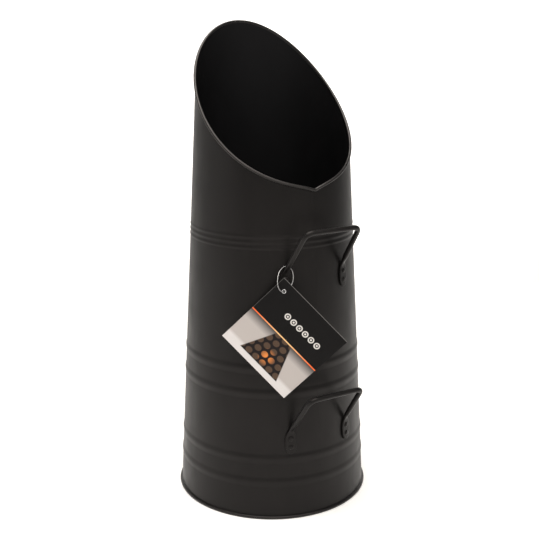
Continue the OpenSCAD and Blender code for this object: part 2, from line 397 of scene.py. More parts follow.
def turned(profile: Sequence[tuple[float, float]], steps: int) -> tuple[list[Vector], Faces]:
    """Turns an open profile of (radius, height) round Z, closing its ends at the axis.

    Args:
        profile: Points from the lower pole to the upper one; both poles have radius 0.
        steps: The number of segments round the axis.

    Returns:
        The points and the faces.
    """
    poles = [Vector((0, 0, profile[0][1])), Vector((0, 0, profile[-1][1]))]
    rings = [
        Vector((radius * math.cos(TURN * j / steps), radius * math.sin(TURN * j / steps), height))
        for radius, height in profile[1:-1]
        for j in range(steps)
    ]
    count = len(profile) - 2
    faces = skin(count, steps, first=len(poles))
    last = len(poles) + (count - 1) * steps
    for j in range(steps):
        k = (j + 1) % steps
        faces.append((0, len(poles) + k, len(poles) + j))
        faces.append((1, last + j, last + k))
    return poles + rings, faces


def blend(a: Any, b: Any, share: float) -> Any:
    """A number or vector part of the way from a to b."""
    return a + (b - a) * share


def eased(share: float) -> float:
    """A share held between 0 and 1, with soft ends."""
    held = max(0.0, min(1.0, share))
    return held * held * (3 - 2 * held)


# Finishes


@dataclass(frozen=True)
class Noise:
    """Noise on Object coordinates: waves for each metre, finer layers and a factor for each axis."""

    scale: float
    detail: float = 3.0
    stretch: Triple = (1, 1, 1)


class ShaderGraph(NodeGraph):
    """A material's node tree, with the patterns that the finishes share."""

    mix_colours = (6, 7)
    mix_result = 2

    def noise(self, kind: Noise) -> Output:
        """Adds a noise.

        Args:
            kind: Its settings.

        Returns:
            The noise's factor.
        """
        place = self.result("ShaderNodeTexCoord", output="Object")
        if kind.stretch != (1, 1, 1):
            place = self.result("ShaderNodeMapping", {"Vector": place, "Scale": kind.stretch})
        inputs = {"Vector": place, "Scale": kind.scale, "Detail": kind.detail}
        return self.result("ShaderNodeTexNoise", inputs)

    def spread(
        self, value: Output, low: float, high: float, start: float = 0.3, stop: float = 0.7
    ) -> Output:
        """Low up to start, high from stop on, even between them; the default ends suit a noise."""
        ends = {"From Min": start, "From Max": stop, "To Min": low, "To Max": high}
        return self.result("ShaderNodeMapRange", {"Value": value, **ends})

    def band(self, value: Output, middle: float, half: float, soft: float) -> Output:
        """1 within half of middle, falling to 0 over soft."""
        return self.spread(abs(value - middle), 1.0, 0.0, half, half + soft)

    def tint(self, share: Output, a: Output | Triple, b: Output | Triple) -> Output:
        """Mixes two colours.

        Args:
            share: How much of the second colour there is.
            a: The first colour.
            b: The second colour.

        Returns:
            The mixed colour.
        """
        inputs: dict[Any, Any] = {0: share}
        for index, colour in zip(self.mix_colours, (a, b)):
            inputs[index] = (*colour, 1.0) if isinstance(colour, tuple) else colour
        return self.result(
            "ShaderNodeMix", inputs, output=self.mix_result, data_type="RGBA", clamp_factor=True
        )

    def bump(self, height: Output, depth: float, below: Output | None = None) -> Output:
        """Turns a height into a bumped normal.

        Args:
            height: The height, from 0 to 1.
            depth: What a height of 1 stands for, in metres.
            below: The normal of a coarser bump underneath.

        Returns:
            The normal.
        """
        inputs = {"Height": height, "Distance": depth, "Strength": 1.0}
        if below is not None:
            inputs["Normal"] = below
        return self.result("ShaderNodeBump", inputs)


class Finish:
    """A procedural material round one Principled shader."""

    name: str = "finish"

    def material(self) -> bpy.types.Material:
        """The Blender material, made on first use.

        Returns:
            The material of this finish's name.
        """
        found = bpy.data.materials.get(self.name)
        if found is None:
            found = bpy.data.materials.new(self.name)
            found.use_nodes = True
            found.node_tree.nodes.clear()
            graph = ShaderGraph(found.node_tree)
            shader = graph.result("ShaderNodeBsdfPrincipled", self.shader_inputs(graph))
            graph.add("ShaderNodeOutputMaterial", {"Surface": shader})
        return found

    def shader_inputs(self, graph: ShaderGraph) -> dict[str, Any]:
        """Values and outputs by the names of the shader's inputs, laid out by each finish."""
        raise NotImplementedError


@dataclass(frozen=True)
class BlackPaint(Finish):
    """Satin black stove paint, sprayed on sheet steel or rod."""

    name: str = "black_paint"
    dark: Triple = (0.0030, 0.0028, 0.0027)
    pale: Triple = (0.0066, 0.0060, 0.0057)
    cast: Triple = (1.0, 0.945, 0.935)
    gloss_low: float = 0.36
    gloss_high: float = 0.46
    specular: float = 0.20
    cloud: Noise = Noise(14.0, 4.0, (1, 1, 0.45))
    dust: Noise = Noise(420.0, 2.0)
    dust_low: float = 0.7
    patch: Noise = Noise(60.0, 5.0, (1, 1, 0.6))
    sag: Noise = Noise(22.0, 1.0, (1, 1, 0.4))
    sag_depth: float = 0.00006
    grain: Noise = Noise(1400.0, 2.0)
    grain_depth: float = 0.000012

    def shader_inputs(self, graph: ShaderGraph) -> dict[str, Any]:
        """Paint with faint clouding, a fine spray grain and a soft waviness in the sheet.

        Args:
            graph: The material's tree.

        Returns:
            Values and outputs by the names of the shader's inputs.
        """
        cloud = graph.spread(graph.noise(self.cloud), 0.0, 1.0)
        dust = graph.spread(graph.noise(self.dust), self.dust_low, 1.0)
        wave = graph.bump(graph.noise(self.sag), self.sag_depth)
        return {
            "Base Color": graph.tint(cloud * dust, self.dark, self.pale),
            "Roughness": graph.spread(graph.noise(self.patch), self.gloss_low, self.gloss_high),
            "Specular IOR Level": self.specular,
            "Specular Tint": (*self.cast, 1.0),
            "Normal": graph.bump(graph.noise(self.grain), self.grain_depth, wave),
        }


@dataclass(frozen=True)
class BareSteel(Finish):
    """Bright drawn wire or plated metal."""

    name: str = "bare_steel"
    dark: Triple = (0.42, 0.42, 0.43)
    pale: Triple = (0.62, 0.62, 0.63)
    gloss: float = 0.3
    gloss_spread: float = 0.12
    patch: Noise = Noise(240.0, 3.0)
    scratches: Noise = Noise(900.0, 2.0, (1, 1, 0.2))
    scratch_depth: float = 0.000006

    def shader_inputs(self, graph: ShaderGraph) -> dict[str, Any]:
        """Metal with fine drawn streaks and slightly uneven gloss.

        Args:
            graph: The material's tree.

        Returns:
            Values and outputs by the names of the shader's inputs.
        """
        streak = graph.noise(self.scratches)
        patch = graph.noise(self.patch)
        return {
            "Base Color": graph.tint(graph.spread(streak, 0.0, 1.0), self.dark, self.pale),
            "Metallic": 1.0,
            "Roughness": graph.spread(patch, self.gloss, self.gloss + self.gloss_spread),
            "Normal": graph.bump(streak, self.scratch_depth),
        }


@dataclass(frozen=True)
class CardStock(Finish):
    """Unprinted card, as on the tag's back and trimmed edges."""

    name: str = "card_stock"
    pale: Triple = (0.20, 0.195, 0.19)
    dark: Triple = (0.14, 0.135, 0.13)
    gloss: float = 0.7
    fibre: Noise = Noise(2600.0, 4.0, (1, 1, 0.3))
    fibre_depth: float = 0.00001

    def shader_inputs(self, graph: ShaderGraph) -> dict[str, Any]:
        """Matte card with a faint fibre.

        Args:
            graph: The material's tree.

        Returns:
            Values and outputs by the names of the shader's inputs.
        """
        fibre = graph.noise(self.fibre)
        return {
            "Base Color": graph.tint(fibre, self.dark, self.pale),
            "Roughness": self.gloss,
            "Normal": graph.bump(fibre, self.fibre_depth),
        }


@dataclass(frozen=True)
class RingRow:
    """A row of small rings, each round a dot, on the tag.

    The start, the level and the pitch are shares of the card's side, counted from its left and
    its head. The other sizes are shares of the pitch.
    """

    start: float = 0.30
    level: float = 0.285
    pitch: float = 0.092
    count: int = 6
    ring_r: float = 0.33
    line: float = 0.05
    dot_r: float = 0.10
    soft: float = 0.05
    end_soft: float = 0.001

    def mask(self, graph: ShaderGraph, across: Output, down: Output) -> Output:
        """Where the rings and dots are.

        Args:
            graph: The material's tree.
            across: Share of the card's side from its left.
            down: Share of the card's side from its head.

        Returns:
            1 on a ring or dot, otherwise 0.
        """
        cell = (across - self.start) / self.pitch
        away = graph.length(graph.math("FRACT", cell) - 0.5, (down - self.level) / self.pitch)
        ring = graph.band(away, self.ring_r, self.line, self.soft)
        dot = graph.band(away, 0.0, self.dot_r, self.soft)
        in_row = graph.band(cell, self.count / 2, self.count / 2, self.end_soft)
        return graph.math("MAXIMUM", ring, dot) * in_row


@dataclass(frozen=True)
class LogStack:
    """A pile of log ends in staggered rows on the tag, in shares of the card's side.

    The pile stands within two sloping lines and a foot. Logs near one point glow.
    """

    top: float = 0.56
    foot: float = 0.925
    foot_soft: float = 0.005
    left: float = 0.370
    right: float = 0.640
    side_soft: float = 0.010
    slope: float = 0.42
    log_w: float = 0.107
    row_h: float = 0.093
    end_r: float = 0.36
    end_soft: float = 0.06
    years: float = 70.0
    glow_at: tuple[float, float] = (0.52, 0.80)
    glow_share: float = 0.85
    glow_from: float = 0.02
    glow_to: float = 0.11
    glow: Triple = (0.80, 0.26, 0.06)
    bark: Triple = (0.012, 0.009, 0.009)
    wood: Triple = (0.050, 0.030, 0.020)
    pale_wood: Triple = (0.115, 0.072, 0.048)

    def colour(self, graph: ShaderGraph, across: Output, down: Output) -> Output:
        """The colour of the log ends and the gaps between them.

        Args:
            graph: The material's tree.
            across: Share of the card's side from its left.
            down: Share of the card's side from its head.

        Returns:
            The colour.
        """
        row = (down - self.top) / self.row_h
        odd = graph.math("MODULO", graph.math("FLOOR", row), 2.0)
        cell = across / self.log_w + odd * 0.5
        away = graph.length(graph.math("FRACT", cell) - 0.5, graph.math("FRACT", row) - 0.5)
        years = graph.spread(graph.math("SINE", away * self.years), 0.0, 1.0, -1.0, 1.0)
        face = graph.tint(years, self.wood, self.pale_wood)
        near = graph.length(across - self.glow_at[0], down - self.glow_at[1])
        glowing = graph.spread(near, self.glow_share, 0.0, self.glow_from, self.glow_to)
        end = graph.band(away, 0.0, self.end_r, self.end_soft)
        return graph.tint(end, self.bark, graph.tint(glowing, face, self.glow))

    def mask(self, graph: ShaderGraph, across: Output, down: Output) -> Output:
        """Where the pile stands.

        Args:
            graph: The material's tree.
            across: Share of the card's side from its left.
            down: Share of the card's side from its head.

        Returns:
            1 on the pile, otherwise 0.
        """
        lean = (down - self.top) * self.slope
        left = graph.spread(across + lean, 0.0, 1.0, self.left, self.left + self.side_soft)
        right = graph.spread(across - lean, 1.0, 0.0, self.right, self.right + self.side_soft)
        foot = graph.spread(down, 1.0, 0.0, self.foot, self.foot + self.foot_soft)
        return left * right * foot


@dataclass(frozen=True)
class CardPrint(Finish):
    """The tag's printed face: a dark field with a row of rings, a warm stripe and a pile of logs.

    Places are shares of the card's side from its left and head.
    """

    name: str = "card_print"
    ink: Triple = (0.0042, 0.0038, 0.0038)
    chalk: Triple = (0.66, 0.64, 0.61)
    wall: Triple = (0.46, 0.42, 0.40)
    hearth: Triple = (0.64, 0.61, 0.60)
    hearth_from: float = 0.86
    hearth_to: float = 0.90
    shade_share: float = 0.93
    shade_h: float = 0.13
    stripe_at: float = 0.503
    stripe_w: float = 0.011
    stripe_soft: float = 0.003
    field_soft: float = 0.002
    ember: Triple = (0.86, 0.15, 0.035)
    gold: Triple = (0.82, 0.52, 0.24)
    gold_half: float = 0.08
    gold_soft: float = 0.34
    # Pale card core along the head edge and the upper side edge, strengthened into a painted highlight:
    # drawn wide on the face, full on the head edge that faces the light and weaker on the side edge.
    edge_core_and_highlight: Triple = (0.15, 0.147, 0.144)
    edge_line_from: float = 0.0030
    edge_line_to: float = 0.0055
    side_highlight_share: float = 0.55
    rings: RingRow = RingRow()
    logs: LogStack = LogStack()
    gloss_low: float = 0.42
    gloss_high: float = 0.52
    specular: float = 0.12
    mottle: Noise = Noise(900.0, 3.0)
    mottle_depth: float = 0.000008

    def picture(self, graph: ShaderGraph, across: Output, down: Output) -> Output:
        """The lower half: a pale wall and hearth under the stripe's shade, with the pile of logs.

        Args:
            graph: The material's tree.
            across: Share of the card's side from its left.
            down: Share of the card's side from its head.

        Returns:
            The colour.
        """
        ground = graph.tint(
            graph.spread(down, 0.0, 1.0, self.hearth_from, self.hearth_to), self.wall, self.hearth
        )
        shade = graph.spread(down, self.shade_share, 0.0, self.stripe_at, self.stripe_at + self.shade_h)
        ground = graph.tint(shade, ground, self.ink)
        stack = self.logs.colour(graph, across, down)
        return graph.tint(self.logs.mask(graph, across, down), ground, stack)

    def shader_inputs(self, graph: ShaderGraph) -> dict[str, Any]:
        """Lays out the print on the card's own UV map, with a faint varnish.

        Args:
            graph: The material's tree.

        Returns:
            Values and outputs by the names of the shader's inputs.
        """
        across, up, _ = graph.split(graph.result("ShaderNodeUVMap", uv_map="UVMap"))
        down = 1.0 - up
        dark_field = graph.tint(self.rings.mask(graph, across, down), self.ink, self.chalk)
        upper = graph.spread(down, 1.0, 0.0, self.stripe_at, self.stripe_at + self.field_soft)
        colour = graph.tint(upper, self.picture(graph, across, down), dark_field)
        stripe = graph.tint(graph.band(across, 0.5, self.gold_half, self.gold_soft), self.ember, self.gold)
        on_stripe = graph.band(down, self.stripe_at, self.stripe_w / 2, self.stripe_soft)
        colour = graph.tint(on_stripe, colour, stripe)
        # Painted highlight over the pale card core: a line along the head edge and a weaker one along the
        # upper side edge.
        head = graph.spread(down, 1.0, 0.0, self.edge_line_from, self.edge_line_to)
        side = graph.spread(across, self.side_highlight_share, 0.0, self.edge_line_from, self.edge_line_to) * upper
        mottle = graph.noise(self.mottle)
        return {
            "Base Color": graph.tint(graph.math("MAXIMUM", head, side), colour, self.edge_core_and_highlight),
            "Roughness": graph.spread(mottle, self.gloss_low, self.gloss_high),
            "Specular IOR Level": self.specular,
            "Normal": graph.bump(mottle, self.mottle_depth),
        }


@dataclass(frozen=True)
class Finishes:
    """Every finish of the hod."""

    outside: BlackPaint = BlackPaint()
    # Painted shade: a darker, duller copy of the outer paint, whose lower colour and weaker reflection stand
    # in for the shade inside the barrel.
    inside: BlackPaint = BlackPaint(
        name="black_paint_inside", dark=(0.0024, 0.0024, 0.0026), pale=(0.0046, 0.0045, 0.0048),
        cast=(1.0, 1.0, 1.06), gloss_low=0.5, gloss_high=0.62, specular=0.12,
    )
    rod: BlackPaint = BlackPaint(name="black_paint_rod", gloss_low=0.30, gloss_high=0.42, sag_depth=0.00002)
    rim: BlackPaint = BlackPaint(
        name="black_paint_rim", gloss_low=0.26, gloss_high=0.34, sag_depth=0.00002, specular=0.42
    )
    hem: BlackPaint = BlackPaint(
        name="black_paint_hem", gloss_low=0.28, gloss_high=0.38, sag_depth=0.00002, specular=0.36
    )
    wire: BareSteel = BareSteel(name="galvanised_wire", gloss=0.4)
    silver: BareSteel = BareSteel(
        name="silver_wire", dark=(0.34, 0.34, 0.34), pale=(0.50, 0.50, 0.50), gloss=0.26
    )
    eyelet: BareSteel = BareSteel(
        name="plated_eyelet", dark=(0.48, 0.48, 0.49), pale=(0.70, 0.70, 0.71), gloss=0.2
    )
    stock: CardStock = CardStock()
    print_: CardPrint = CardPrint()


# The form that the pieces share


@dataclass(frozen=True)
class Wall:
    """The tapered wall and the slanted line of its rim, which every other piece follows.

    The rim's height swings by the slant to both sides of its middle. The low side is lifted a
    little and ends in the V, and the whole line is turned by the skew.
    """

    base_r: float = 103.0 * MM
    height: float = 507.5 * MM
    drawn_in: float = 27.55 * MM
    sheet: float = 0.8 * MM
    rim_mid: float = 414.0 * MM
    slant: float = 91.8 * MM
    lift: float = 26.6 * MM
    skew: float = math.radians(-2.7)
    vee: float = 5.2 * MM
    vee_w: float = 12.2 * MM
    vee_soft: float = math.radians(0.8)

    @property
    def taper(self) -> float:
        """How much the radius shrinks for each metre of height."""
        return self.drawn_in / self.height

    @property
    def lean(self) -> float:
        """Angle between the wall and the vertical."""
        return math.atan(self.taper)

    @property
    def vee_angle(self) -> float:
        """Angle over which the V fades out."""
        return self.vee_w / self.radius(self.rim_mid)

    def radius(self, z: float) -> float:
        """Outer radius of the plain wall at a height."""
        return self.base_r - self.taper * z

    def rim_z(self, angle: float) -> float:
        """Height of the rim's centre line.

        Args:
            angle: Where on the rim, from the V.

        Returns:
            The height.
        """
        swing = math.cos(angle - self.skew)
        off = abs((angle + math.pi) % TURN - math.pi)
        off = math.hypot(off, self.vee_soft) - self.vee_soft
        flat = self.rim_mid - self.slant * swing + self.lift * ((1 + swing) / 2) ** 2
        return flat - self.vee * math.exp(-off / self.vee_angle)

    def point(self, angle: float, z: float, x: float = 0, y: float = 0, n: float = 0) -> Vector:
        """A point seen from the wall.

        Args:
            angle: Where on the wall, round the barrel.
            z: Where on the wall, up the barrel.
            x: Distance along the wall, anticlockwise.
            y: Distance up the wall.
            n: Distance out from the wall.

        Returns:
            The point in the hod's frame.
        """
        out = self.radius(z) - y * math.sin(self.lean) + n * math.cos(self.lean)
        up = z + y * math.cos(self.lean) + n * math.sin(self.lean)
        return Matrix.Rotation(angle, 3, "Z") @ Vector((x, -out, up))

    def outward(self, angle: float) -> Vector:
        """Direction square to the wall."""
        return Matrix.Rotation(angle, 3, "Z") @ Vector((0, -math.cos(self.lean), math.sin(self.lean)))

    def rule_inputs(self) -> dict[str, float]:
        """The rim rule's sizes.

        Returns:
            The sizes by the names of their node inputs.
        """
        return {
            "Base Radius": self.base_r, "Taper": self.taper, "Rim Mid": self.rim_mid,
            "Slant": self.slant, "Lift": self.lift, "Skew": self.skew,
            "Vee": self.vee, "Vee Angle": self.vee_angle, "Vee Soft": self.vee_soft,
        }


@dataclass(frozen=True)
class Bead:
    """One swaged bead: a steeper upper flank, a longer lower one and a fine crease under it."""

    crest: float
    out: float
    upper: float
    lower: float
    crease: float
    crease_w: float = 0.9 * MM
    below: float = 2.0 * MM
    above: float = 0.5 * MM
    fewest_rows: int = 4

    @classmethod
    def broad(cls, crest: float, crease: float) -> Bead:
        """A bead of the two lower pairs."""
        return cls(crest * MM, out=0.70 * MM, upper=5.4 * MM, lower=6.4 * MM, crease=crease * MM)

    @classmethod
    def narrow(cls, crest: float) -> Bead:
        """A bead of the upper group of three."""
        return cls(crest * MM, out=0.35 * MM, upper=2.3 * MM, lower=2.6 * MM, crease=0.03 * MM)

    def relief(self, z: float) -> float:
        """How far the bead stands out.

        Args:
            z: Height on the wall.

        Returns:
            The distance out from the plain wall.
        """
        rise = z - self.crest
        flank = self.upper if rise > 0 else self.lower
        swell = self.out * math.cos(math.pi / 2 * min(1.0, abs(rise) / flank)) ** 2
        return swell - self.crease * math.exp(-(((rise + self.lower) / self.crease_w) ** 2))

    def levels(self, step: float) -> list[float]:
        """Heights at which the bead's form is cut into rows.

        Args:
            step: The rows' usual distance.

        Returns:
            Rising heights from a little below the bead to a little above it.
        """
        low, high = self.crest - self.lower - self.below, self.crest + self.upper + self.above
        count = max(self.fewest_rows, round((high - low) / step))
        return [low + (high - low) * i / count for i in range(count + 1)]


class RimRule:
    """The rule of the wall and its rim, laid out in nodes for the trees that follow it."""

    def __init__(self, tree: GeometryTree) -> None:
        """Adds the rule's inputs to a tree that will follow it."""
        self.tree = tree
        self.sizes = {name: tree.size(name) for name in Wall().rule_inputs()}

    def height(self, angle: Output) -> Output:
        """Height of the rim's centre line.

        Args:
            angle: Where on the rim, from 0 to a full turn.

        Returns:
            The height.
        """
        tree, sizes = self.tree, self.sizes
        bend = sizes["Vee Soft"]
        swing = tree.math("COSINE", angle - sizes["Skew"])
        half = (swing + 1.0) * 0.5
        off = tree.length(tree.math("MINIMUM", angle, TURN - angle), bend)
        dip = sizes["Vee"] * tree.math("EXPONENT", (bend - off) / sizes["Vee Angle"])
        return sizes["Rim Mid"] - sizes["Slant"] * swing + sizes["Lift"] * (half * half) - dip

    def radius(self, z: Output) -> Output:
        """Outer radius of the plain wall at a height."""
        return self.sizes["Base Radius"] - self.sizes["Taper"] * z

    def place(self, angle: Output, radius: Output, z: Output) -> Output:
        """A point round the barrel.

        Args:
            angle: Its angle from the V.
            radius: Its distance from the axis.
            z: Its height.

        Returns:
            The point's position.
        """
        x = radius * self.tree.math("SINE", angle)
        y = radius * (self.tree.math("COSINE", angle) * -1.0)
        return self.tree.join(x, y, z)


class ShellTree(GeometryTree):
    """Turns a profile round the barrel's axis and stretches its upper rows up to the slanted rim.

    The profile is a mesh of points whose x is a stand-out from the wall, y a share of the climb
    to the rim and z a height. A seam column repeats the last angle a step further out. Thin ends
    draw the first and the last column together at one depth, which closes a strip's sides.
    """

    whole_ring = {
        "Start": 0.0, "Sweep": TURN, "Rim Drop": 0.0, "Seam Step": 0.0, "Seam Width": 1.0,
        "Seam Columns": 0, "Thin Ends": 0.0, "Thin Depth": 0.0,
    }
    join_within = 0.004 * MM

    def __init__(self) -> None:
        """Builds the tree."""
        super().__init__("turned_shell")
        rule = RimRule(self)
        columns, rows, seam_columns = (
            self.size(n, Kind.INT) for n in ("Columns", "Rows", "Seam Columns")
        )
        start, sweep, drop = (self.size(n) for n in ("Start", "Sweep", "Rim Drop"))
        step, width = (self.size(n) for n in ("Seam Step", "Seam Width"))
        thin, thin_at = (self.size(n) for n in ("Thin Ends", "Thin Depth"))
        inner_from = self.size("Inner From")
        outside, inside = (self.size(n, Kind.MATERIAL) for n in ("Outside", "Inside"))
        grid = self.add(
            "GeometryNodeMeshGrid", {"Size X": 1.0, "Size Y": 1.0, "Vertices X": columns, "Vertices Y": rows}
        )
        sheet, uv = (Output(self, grid.outputs[n]) for n in ("Mesh", "UV Map"))
        mapped = self.result(
            "GeometryNodeStoreNamedAttribute",
            {"Geometry": sheet, "Name": "UVMap", "Value": uv},
            data_type="FLOAT2", domain="CORNER",
        )
        x, y, _ = self.split(self.position())
        last = columns - 1.0
        row = self.math("ROUND", (y + 0.5) * (rows - 1.0))
        column = self.math("ROUND", (x + 0.5) * last)
        profile = self.result(
            "GeometryNodeSampleIndex",
            {"Geometry": self.geometry, "Value": self.position(), "Index": row},
            data_type="FLOAT_VECTOR", domain="POINT",
        )
        out, climb, level = self.split(profile)
        angle = start + sweep * self.math("MINIMUM", column / (last - seam_columns), 1.0)
        top = rule.height(self.math("FLOORED_MODULO", angle, TURN)) - drop
        z = level + climb * (top - level)
        beyond = column > last - 0.5
        fade = self.math("SUBTRACT", 1.0, angle / width, clamp=True)
        seam = step * self.math("MAXIMUM", fade * fade, beyond * seam_columns)
        at_end = (column < 0.5) + beyond
        radius = rule.radius(z) + out + seam + at_end * thin * (thin_at - out)
        moved = self.result(
            "GeometryNodeSetPosition", {"Geometry": mapped, "Position": rule.place(angle, radius, z)}
        )
        merged = self.result(
            "GeometryNodeMergeByDistance", {"Geometry": moved, "Distance": self.join_within}
        )
        stored = self.result("GeometryNodeInputNamedAttribute", {"Name": "UVMap"}, data_type="FLOAT_VECTOR")
        self.end(merged, outside, inside, self.split(stored)[1] > inner_from)


class RollTree(GeometryTree):
    """Sweeps the rolled edge round the rim's centre line, its inner side flat against the wall."""

    def __init__(self) -> None:
        """Builds the tree."""
        super().__init__("rolled_rim")
        rule = RimRule(self)
        steps, sides = self.size("Steps", Kind.INT), self.size("Sides", Kind.INT)
        roll_r, out, flat = (self.size(n) for n in ("Roll Radius", "Stand Out", "Flat Side"))
        material = self.size("Material", Kind.MATERIAL)
        ring = self.result("GeometryNodeCurvePrimitiveCircle", {"Resolution": steps, "Radius": 1.0})
        angle = self.result("GeometryNodeInputIndex") / steps * TURN
        z = rule.height(angle)
        spot = rule.place(angle, rule.radius(z) + out, z)
        path = self.result("GeometryNodeSetPosition", {"Geometry": ring, "Position": spot})
        level = self.result("GeometryNodeSetCurveNormal", {"Curve": path}, mode="Z_UP")
        circle = self.result("GeometryNodeCurvePrimitiveCircle", {"Resolution": sides, "Radius": roll_r})
        x, y, _ = self.split(self.position())
        held = self.join(self.math("MAXIMUM", x, flat * -1.0), y, 0.0)
        section = self.result("GeometryNodeSetPosition", {"Geometry": circle, "Position": held})
        swept = self.result("GeometryNodeCurveToMesh", {"Curve": level, "Profile Curve": section})
        self.end(swept, material)


class WireTree(GeometryTree):
    """Sweeps a round wire along a closed path of points."""

    def __init__(self) -> None:
        """Builds the tree."""
        super().__init__("closed_wire")
        sides, wire_r = self.size("Sides", Kind.INT), self.size("Wire Radius")
        material = self.size("Material", Kind.MATERIAL)
        line = self.result("GeometryNodeMeshToCurve", {"Mesh": self.geometry})
        section = self.result("GeometryNodeCurvePrimitiveCircle", {"Resolution": sides, "Radius": wire_r})
        swept = self.result("GeometryNodeCurveToMesh", {"Curve": line, "Profile Curve": section})
        self.end(swept, material)


class RivetTree(GeometryTree):
    """Sets a rivet on each point, its dome facing along the point's own direction."""

    random_ends = (2, 3)
    random_result = 1

    def __init__(self) -> None:
        """Builds the tree."""
        super().__init__("set_rivets")
        form, seed = self.size("Rivet", Kind.OBJECT), self.size("Seed", Kind.INT)
        uneven = self.size("Uneven")
        material = self.size("Material", Kind.MATERIAL)
        facing = self.result(
            "GeometryNodeInputNamedAttribute", {"Name": "facing"}, data_type="FLOAT_VECTOR"
        )
        turn = self.result("FunctionNodeAlignRotationToVector", {"Vector": facing}, axis="Z")
        rivet = self.result("GeometryNodeObjectInfo", {"Object": form}, output="Geometry")
        least, most = self.random_ends
        scale = self.result(
            "FunctionNodeRandomValue",
            {least: 1.0 - uneven, most: 1.0, "Seed": seed},
            output=self.random_result, data_type="FLOAT",
        )
        placed = self.result(
            "GeometryNodeInstanceOnPoints",
            {"Points": self.geometry, "Instance": rivet, "Rotation": turn, "Scale": scale},
        )
        self.end(placed, material)


# Sub-assemblies


@dataclass
class Barrel:
    """The sheet-steel barrel, its lap and the rolled rim.

    The wall's rows lie a fine or a coarse step apart on a broad bead, and on a narrow one the
    narrow step's share of it. The lap's three depths are counted in from the wall's outer face.
    """

    wall: Wall
    finishes: Finishes
    columns: int = 240
    foot_z: float = 0.95 * MM
    shoulder_z: float = 304.0 * MM
    climb_rows: int = 22
    fine_step: float = 0.62 * MM
    coarse_step: float = 1.2 * MM
    narrow_step: float = 0.75
    least_step: float = 0.25 * MM
    plain_step: float = 12.0 * MM
    roll_r: float = 1.6 * MM
    roll_out: float = 0.3 * MM
    roll_gap: float = 0.1 * MM
    roll_steps: int = 420
    roll_sides: int = 24
    rim_drop: float = 0.6 * MM
    seam_step: float = 0.05 * MM
    seam_w: float = math.radians(6.0)
    lap_columns: int = 9
    lap_half: float = math.radians(2.9)
    lap_low: float = 6.95 * MM
    lap_gap: float = 0.15 * MM
    lap_outer: float = 0.40 * MM
    lap_edge: float = 0.48 * MM
    lap_inner: float = 1.52 * MM
    beads: tuple[Bead, ...] = (
        *(Bead.broad(crest, 0.04) for crest in (41.0, 66.8)),
        *(Bead.broad(crest, 0.06) for crest in (137.3, 163.1)),
        *(Bead.narrow(crest) for crest in (287.7, 293.1, 298.6)),
    )

    def relief(self, z: float) -> float:
        """How far all beads together stand out at a height."""
        return sum(bead.relief(z) for bead in self.beads)

    def levels(self, fine: float, low: float) -> list[float]:
        """Heights of the rows below the shoulder.

        Args:
            fine: The rows' distance on a broad bead.
            low: The lowest row.

        Returns:
            Rising heights, close together on the beads.
        """
        marks = {low, self.shoulder_z}
        broadest = max(bead.upper for bead in self.beads)
        for bead in self.beads:
            step = fine if bead.upper == broadest else fine * self.narrow_step
            marks.update(z for z in bead.levels(step) if low < z < self.shoulder_z)
        kept: list[float] = []
        for z in sorted(marks):
            if kept and z - kept[-1] < self.least_step:
                continue
            gap = z - kept[-1] if kept else 0.0
            count = math.ceil(gap / self.plain_step)
            for _ in range(1, count):
                kept.append(kept[-1] + gap / count)
            kept.append(z)
        return kept

    def shell_profile(self) -> tuple[list[Triple], int]:
        """The wall's closed outline: up the outside, over the edge and down the inside.

        Returns:
            The points and the number of the first inside row.
        """
        sheet, shoulder = self.wall.sheet, self.shoulder_z
        climbs = [i / self.climb_rows for i in range(1, self.climb_rows + 1)]
        rows = [(self.relief(z), 0.0, z) for z in self.levels(self.fine_step, self.foot_z)]
        rows += [(0.0, climb, shoulder) for climb in climbs]
        first_inside = len(rows)
        rows += [(-sheet, climb, shoulder) for climb in reversed(climbs)]
        inner_levels = reversed(self.levels(self.coarse_step, self.foot_z))
        rows += [(self.relief(z) - sheet, 0.0, z) for z in inner_levels]
        rows.append(rows[0])
        return rows, first_inside

    def dressed(self) -> dict[str, Any]:
        """The shell tree's inputs that the wall and its lap share."""
        paints = {"Outside": self.finishes.outside.material(), "Inside": self.finishes.inside.material()}
        return {**ShellTree.whole_ring, **self.wall.rule_inputs(), **paints}

    def shell(self) -> bpy.types.Object:
        """The barrel's wall with its beads and the step of its seam.

        Returns:
            The wall.
        """
        rows, first_inside = self.shell_profile()
        values = self.dressed()
        values.update({
            "Columns": self.columns + 2, "Rows": len(rows), "Rim Drop": self.rim_drop,
            "Seam Step": self.seam_step, "Seam Width": self.seam_w, "Seam Columns": 1,
            "Inner From": (first_inside - 0.5) / (len(rows) - 1),
        })
        return ShellTree().run("barrel_wall", mesh_from("wall_profile", rows), values)

    def lap(self) -> bpy.types.Object:
        """The strip of the second layer inside the seam.

        Returns:
            The strip.
        """
        top = self.wall.rim_z(0.0) - self.roll_r - self.lap_gap
        levels = self.levels(self.coarse_step, self.lap_low) + [self.shoulder_z + self.plain_step, top]
        outer = [(self.relief(z) - self.lap_outer, 0.0, z) for z in levels]
        inner = [(self.relief(z) - self.lap_inner, 0.0, z) for z in reversed(levels)]
        rows = outer + inner + [outer[0]]
        values = self.dressed()
        values.update({
            "Columns": self.lap_columns, "Rows": len(rows), "Start": -self.lap_half,
            "Sweep": 2 * self.lap_half, "Thin Ends": 1.0, "Thin Depth": -self.lap_edge,
            "Inner From": 0.5,
        })
        return ShellTree().run("seam_lap", mesh_from("lap_profile", rows), values)

    def roll(self) -> bpy.types.Object:
        """The rolled edge of the mouth.

        Returns:
            The roll.
        """
        values = {
            **self.wall.rule_inputs(), "Steps": self.roll_steps, "Sides": self.roll_sides,
            "Roll Radius": self.roll_r, "Stand Out": self.roll_out,
            "Flat Side": self.roll_out + self.wall.sheet + self.roll_gap,
            "Material": self.finishes.rim.material(),
        }
        return RollTree().run("rolled_rim", mesh_from("rim_base", [(0, 0, 0)]), values)

